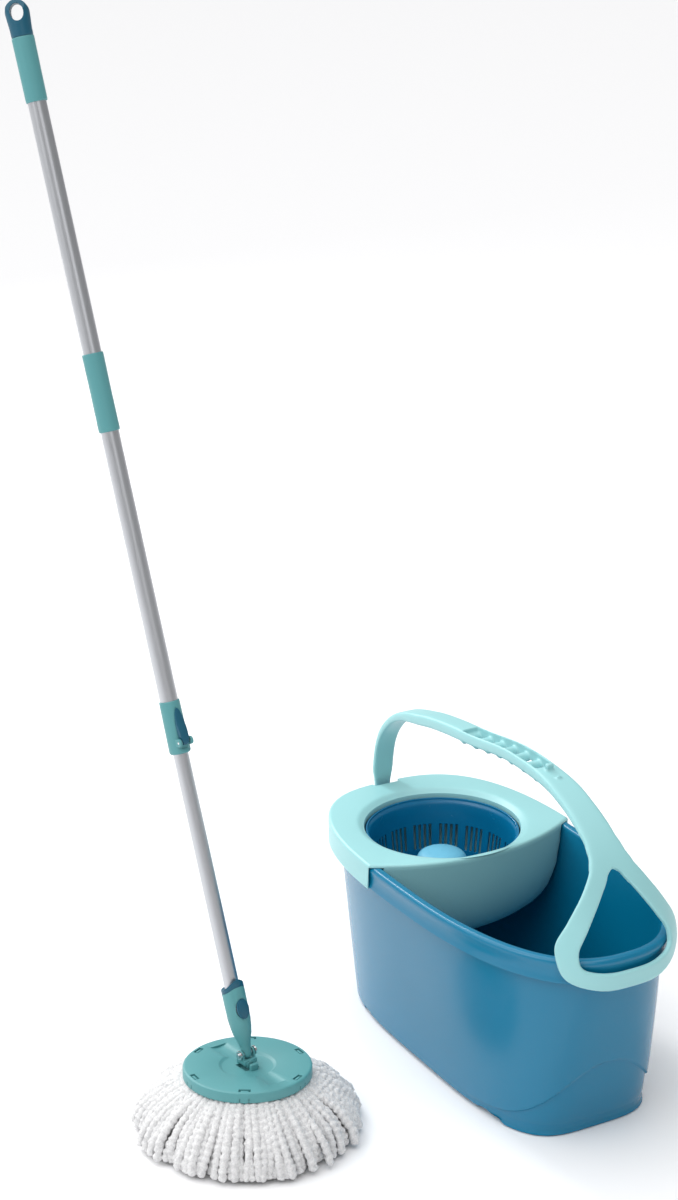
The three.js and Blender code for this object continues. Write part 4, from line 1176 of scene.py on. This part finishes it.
def makeStick():
    shape = stickShape
    low, main = shape["lowerRadius"], shape["mainRadius"]
    bore = main + shape["gripGap"]
    topEnds = shape["topGrip"][0][1], shape["topGrip"][-1][1]
    top = [(bore, topEnds[0]), *shape["topGrip"], (bore, topEnds[1])]
    tube = ("aluminium", "aluminium")
    grip = ("mid_mint", "midMint")
    for name, profile, body, (slot, key), node in (
        ("lower_tube_drawn", tubeProfile(low, *shape["lowerTube"]), "sleeve", tube, "lower_tube"),
        ("main_tube_drawn", tubeProfile(main, *shape["mainTube"]), "upper_stick", tube, "main_tube"),
        ("upper_tube_drawn", tubeProfile(main, *shape["upperTube"]), "upper_stick", tube, "upper_tube"),
        ("middle_grip_moulded", gripProfile(bore, **shape["middleGrip"]), "upper_stick", grip, "middle_grip"),
        ("top_grip_moulded", top, "upper_stick", grip, "top_grip"),
    ):
        piece = turnedPiece(name, profile, onStick, 72, "join")
        smoothed(piece, 35)
        settle(piece, body, slot, finish[key], node)


makeStick()

for node, body, slot, key, width in (
    ("handle_sleeve", "sleeve", "mid_mint", "midMint", 0.5),
    ("sleeve_collar", "sleeve", "petrol", "petrol", 0.4),
    ("release_button", "button", "petrol", "petrol", 0.5),
    ("swivel_block", "block", "mid_mint", "midMint", 0.5),
    ("lock_housing", "upper_stick", "mid_mint", "midMint", 0.5),
    ("lock_lever", "lever", "petrol", "petrol", 0.5),
    ("hang_loop", "upper_stick", "petrol", "petrol", 0.9),
    ("strand_ring", "head", "mid_mint", "midMint", 0.3),
):
    settle(softCopy(node, width), body, slot, finish[key], node)

for key, nodes in {
    "steel": (
        "basket_axle", "thrust_washer", "axle_clip", "handle_pivot_pin", "block_pin", "swivel_pin",
        "pin_washer_left", "pin_washer_right", "button_spring", "spindle_nut", "drive_spindle", "lever_pin"),
    "innerGrey": ("basket_bush", "nut_carrier", "spindle_anchor", "tube_joiner"),
}.items():
    for node in nodes:
        inner = frame["nodes"][node]
        inner.data.materials.clear()
        inner.data.materials.append(finish[key])
print("stick made")


# ---- floor, light and camera ----
studio = {
    "floorSize": 80,
    "floorColour": linear(252, 252, 253),
    "world": {"To Min": 0.32, "To Max": 1.1},  # its light on the pieces, and how bright it looks behind them
    "sky": {"energy": 2.6, "angle": math.radians(95), "turn": (math.radians(20), math.radians(-8), 0)},
    "lamps": [
        {"name": "key", "place": (0.2, -2.7, 2.3), "target": (0, 0.1, 0.3), "size": (1.2, 1.8), "power": 9},
        {"name": "fill", "place": (2.7, -0.7, 2.1), "target": (0.1, 0, 0.2), "size": (1.4, 1.4), "power": 7},
        {"name": "edge", "place": (-3, -0.3, 2.2), "target": (0, 0, 0.3), "size": (0.4, 2.6), "power": 52},
    ],
    "camera": {"lens": 75.84, "place": (2.4562, -1.4084, 1.637), "turn": (math.radians(70.4), 0, 1.061)},
}


def makeFloor():
    bpy.ops.object.select_all(action="DESELECT")
    bpy.ops.mesh.primitive_plane_add(size=studio["floorSize"], location=(0, 0, 0))
    floor = bpy.context.object
    floor.name = "studio_floor"
    material = bpy.data.materials.new("paleFloor")
    material.use_nodes = True
    feed(material.node_tree, material.node_tree.nodes["Principled BSDF"], {
        "Base Color": studio["floorColour"], "Roughness": 0.4, "Specular IOR Level": 0.1})
    floor.data.materials.append(material)


def placed(name, data, place, turn):
    holder = bpy.data.objects.new(name, data)
    holder.location = place
    holder.rotation_euler = turn
    scene.collection.objects.link(holder)
    return holder


def areaLight(name, place, target, size, power):
    lamp = bpy.data.lights.new(name, "AREA")
    lamp.shape = "RECTANGLE"
    lamp.size, lamp.size_y = size
    lamp.energy = power
    placed(name, lamp, place, (Vector(target) - Vector(place)).to_track_quat("-Z", "Y").to_euler())


def makeStudio():
    world = bpy.data.worlds.new("studio")
    scene.world = world
    world.use_nodes = True
    tree = world.node_tree
    seen = addNode(tree, "ShaderNodeLightPath").outputs["Is Camera Ray"]
    strength = addNode(tree, "ShaderNodeMapRange", {"Value": seen, **studio["world"]})
    feed(tree, tree.nodes["Background"], {"Color": (1, 1, 1, 1), "Strength": strength.outputs["Result"]})
    sky = bpy.data.lights.new("sky", "SUN")
    sky.energy = studio["sky"]["energy"]
    sky.angle = studio["sky"]["angle"]
    placed("sky", sky, (0, 0, 0), studio["sky"]["turn"])
    for lamp in studio["lamps"]:
        areaLight(**lamp)
    camera = bpy.data.cameras.new("camera")
    camera.lens = studio["camera"]["lens"]
    camera.sensor_fit = "VERTICAL"
    camera.sensor_height = 36
    camera.clip_end = 60
    scene.camera = placed("camera", camera, studio["camera"]["place"], studio["camera"]["turn"])
    scene.view_settings.view_transform = "Standard"


makeFloor()
makeStudio()
print("studio made")
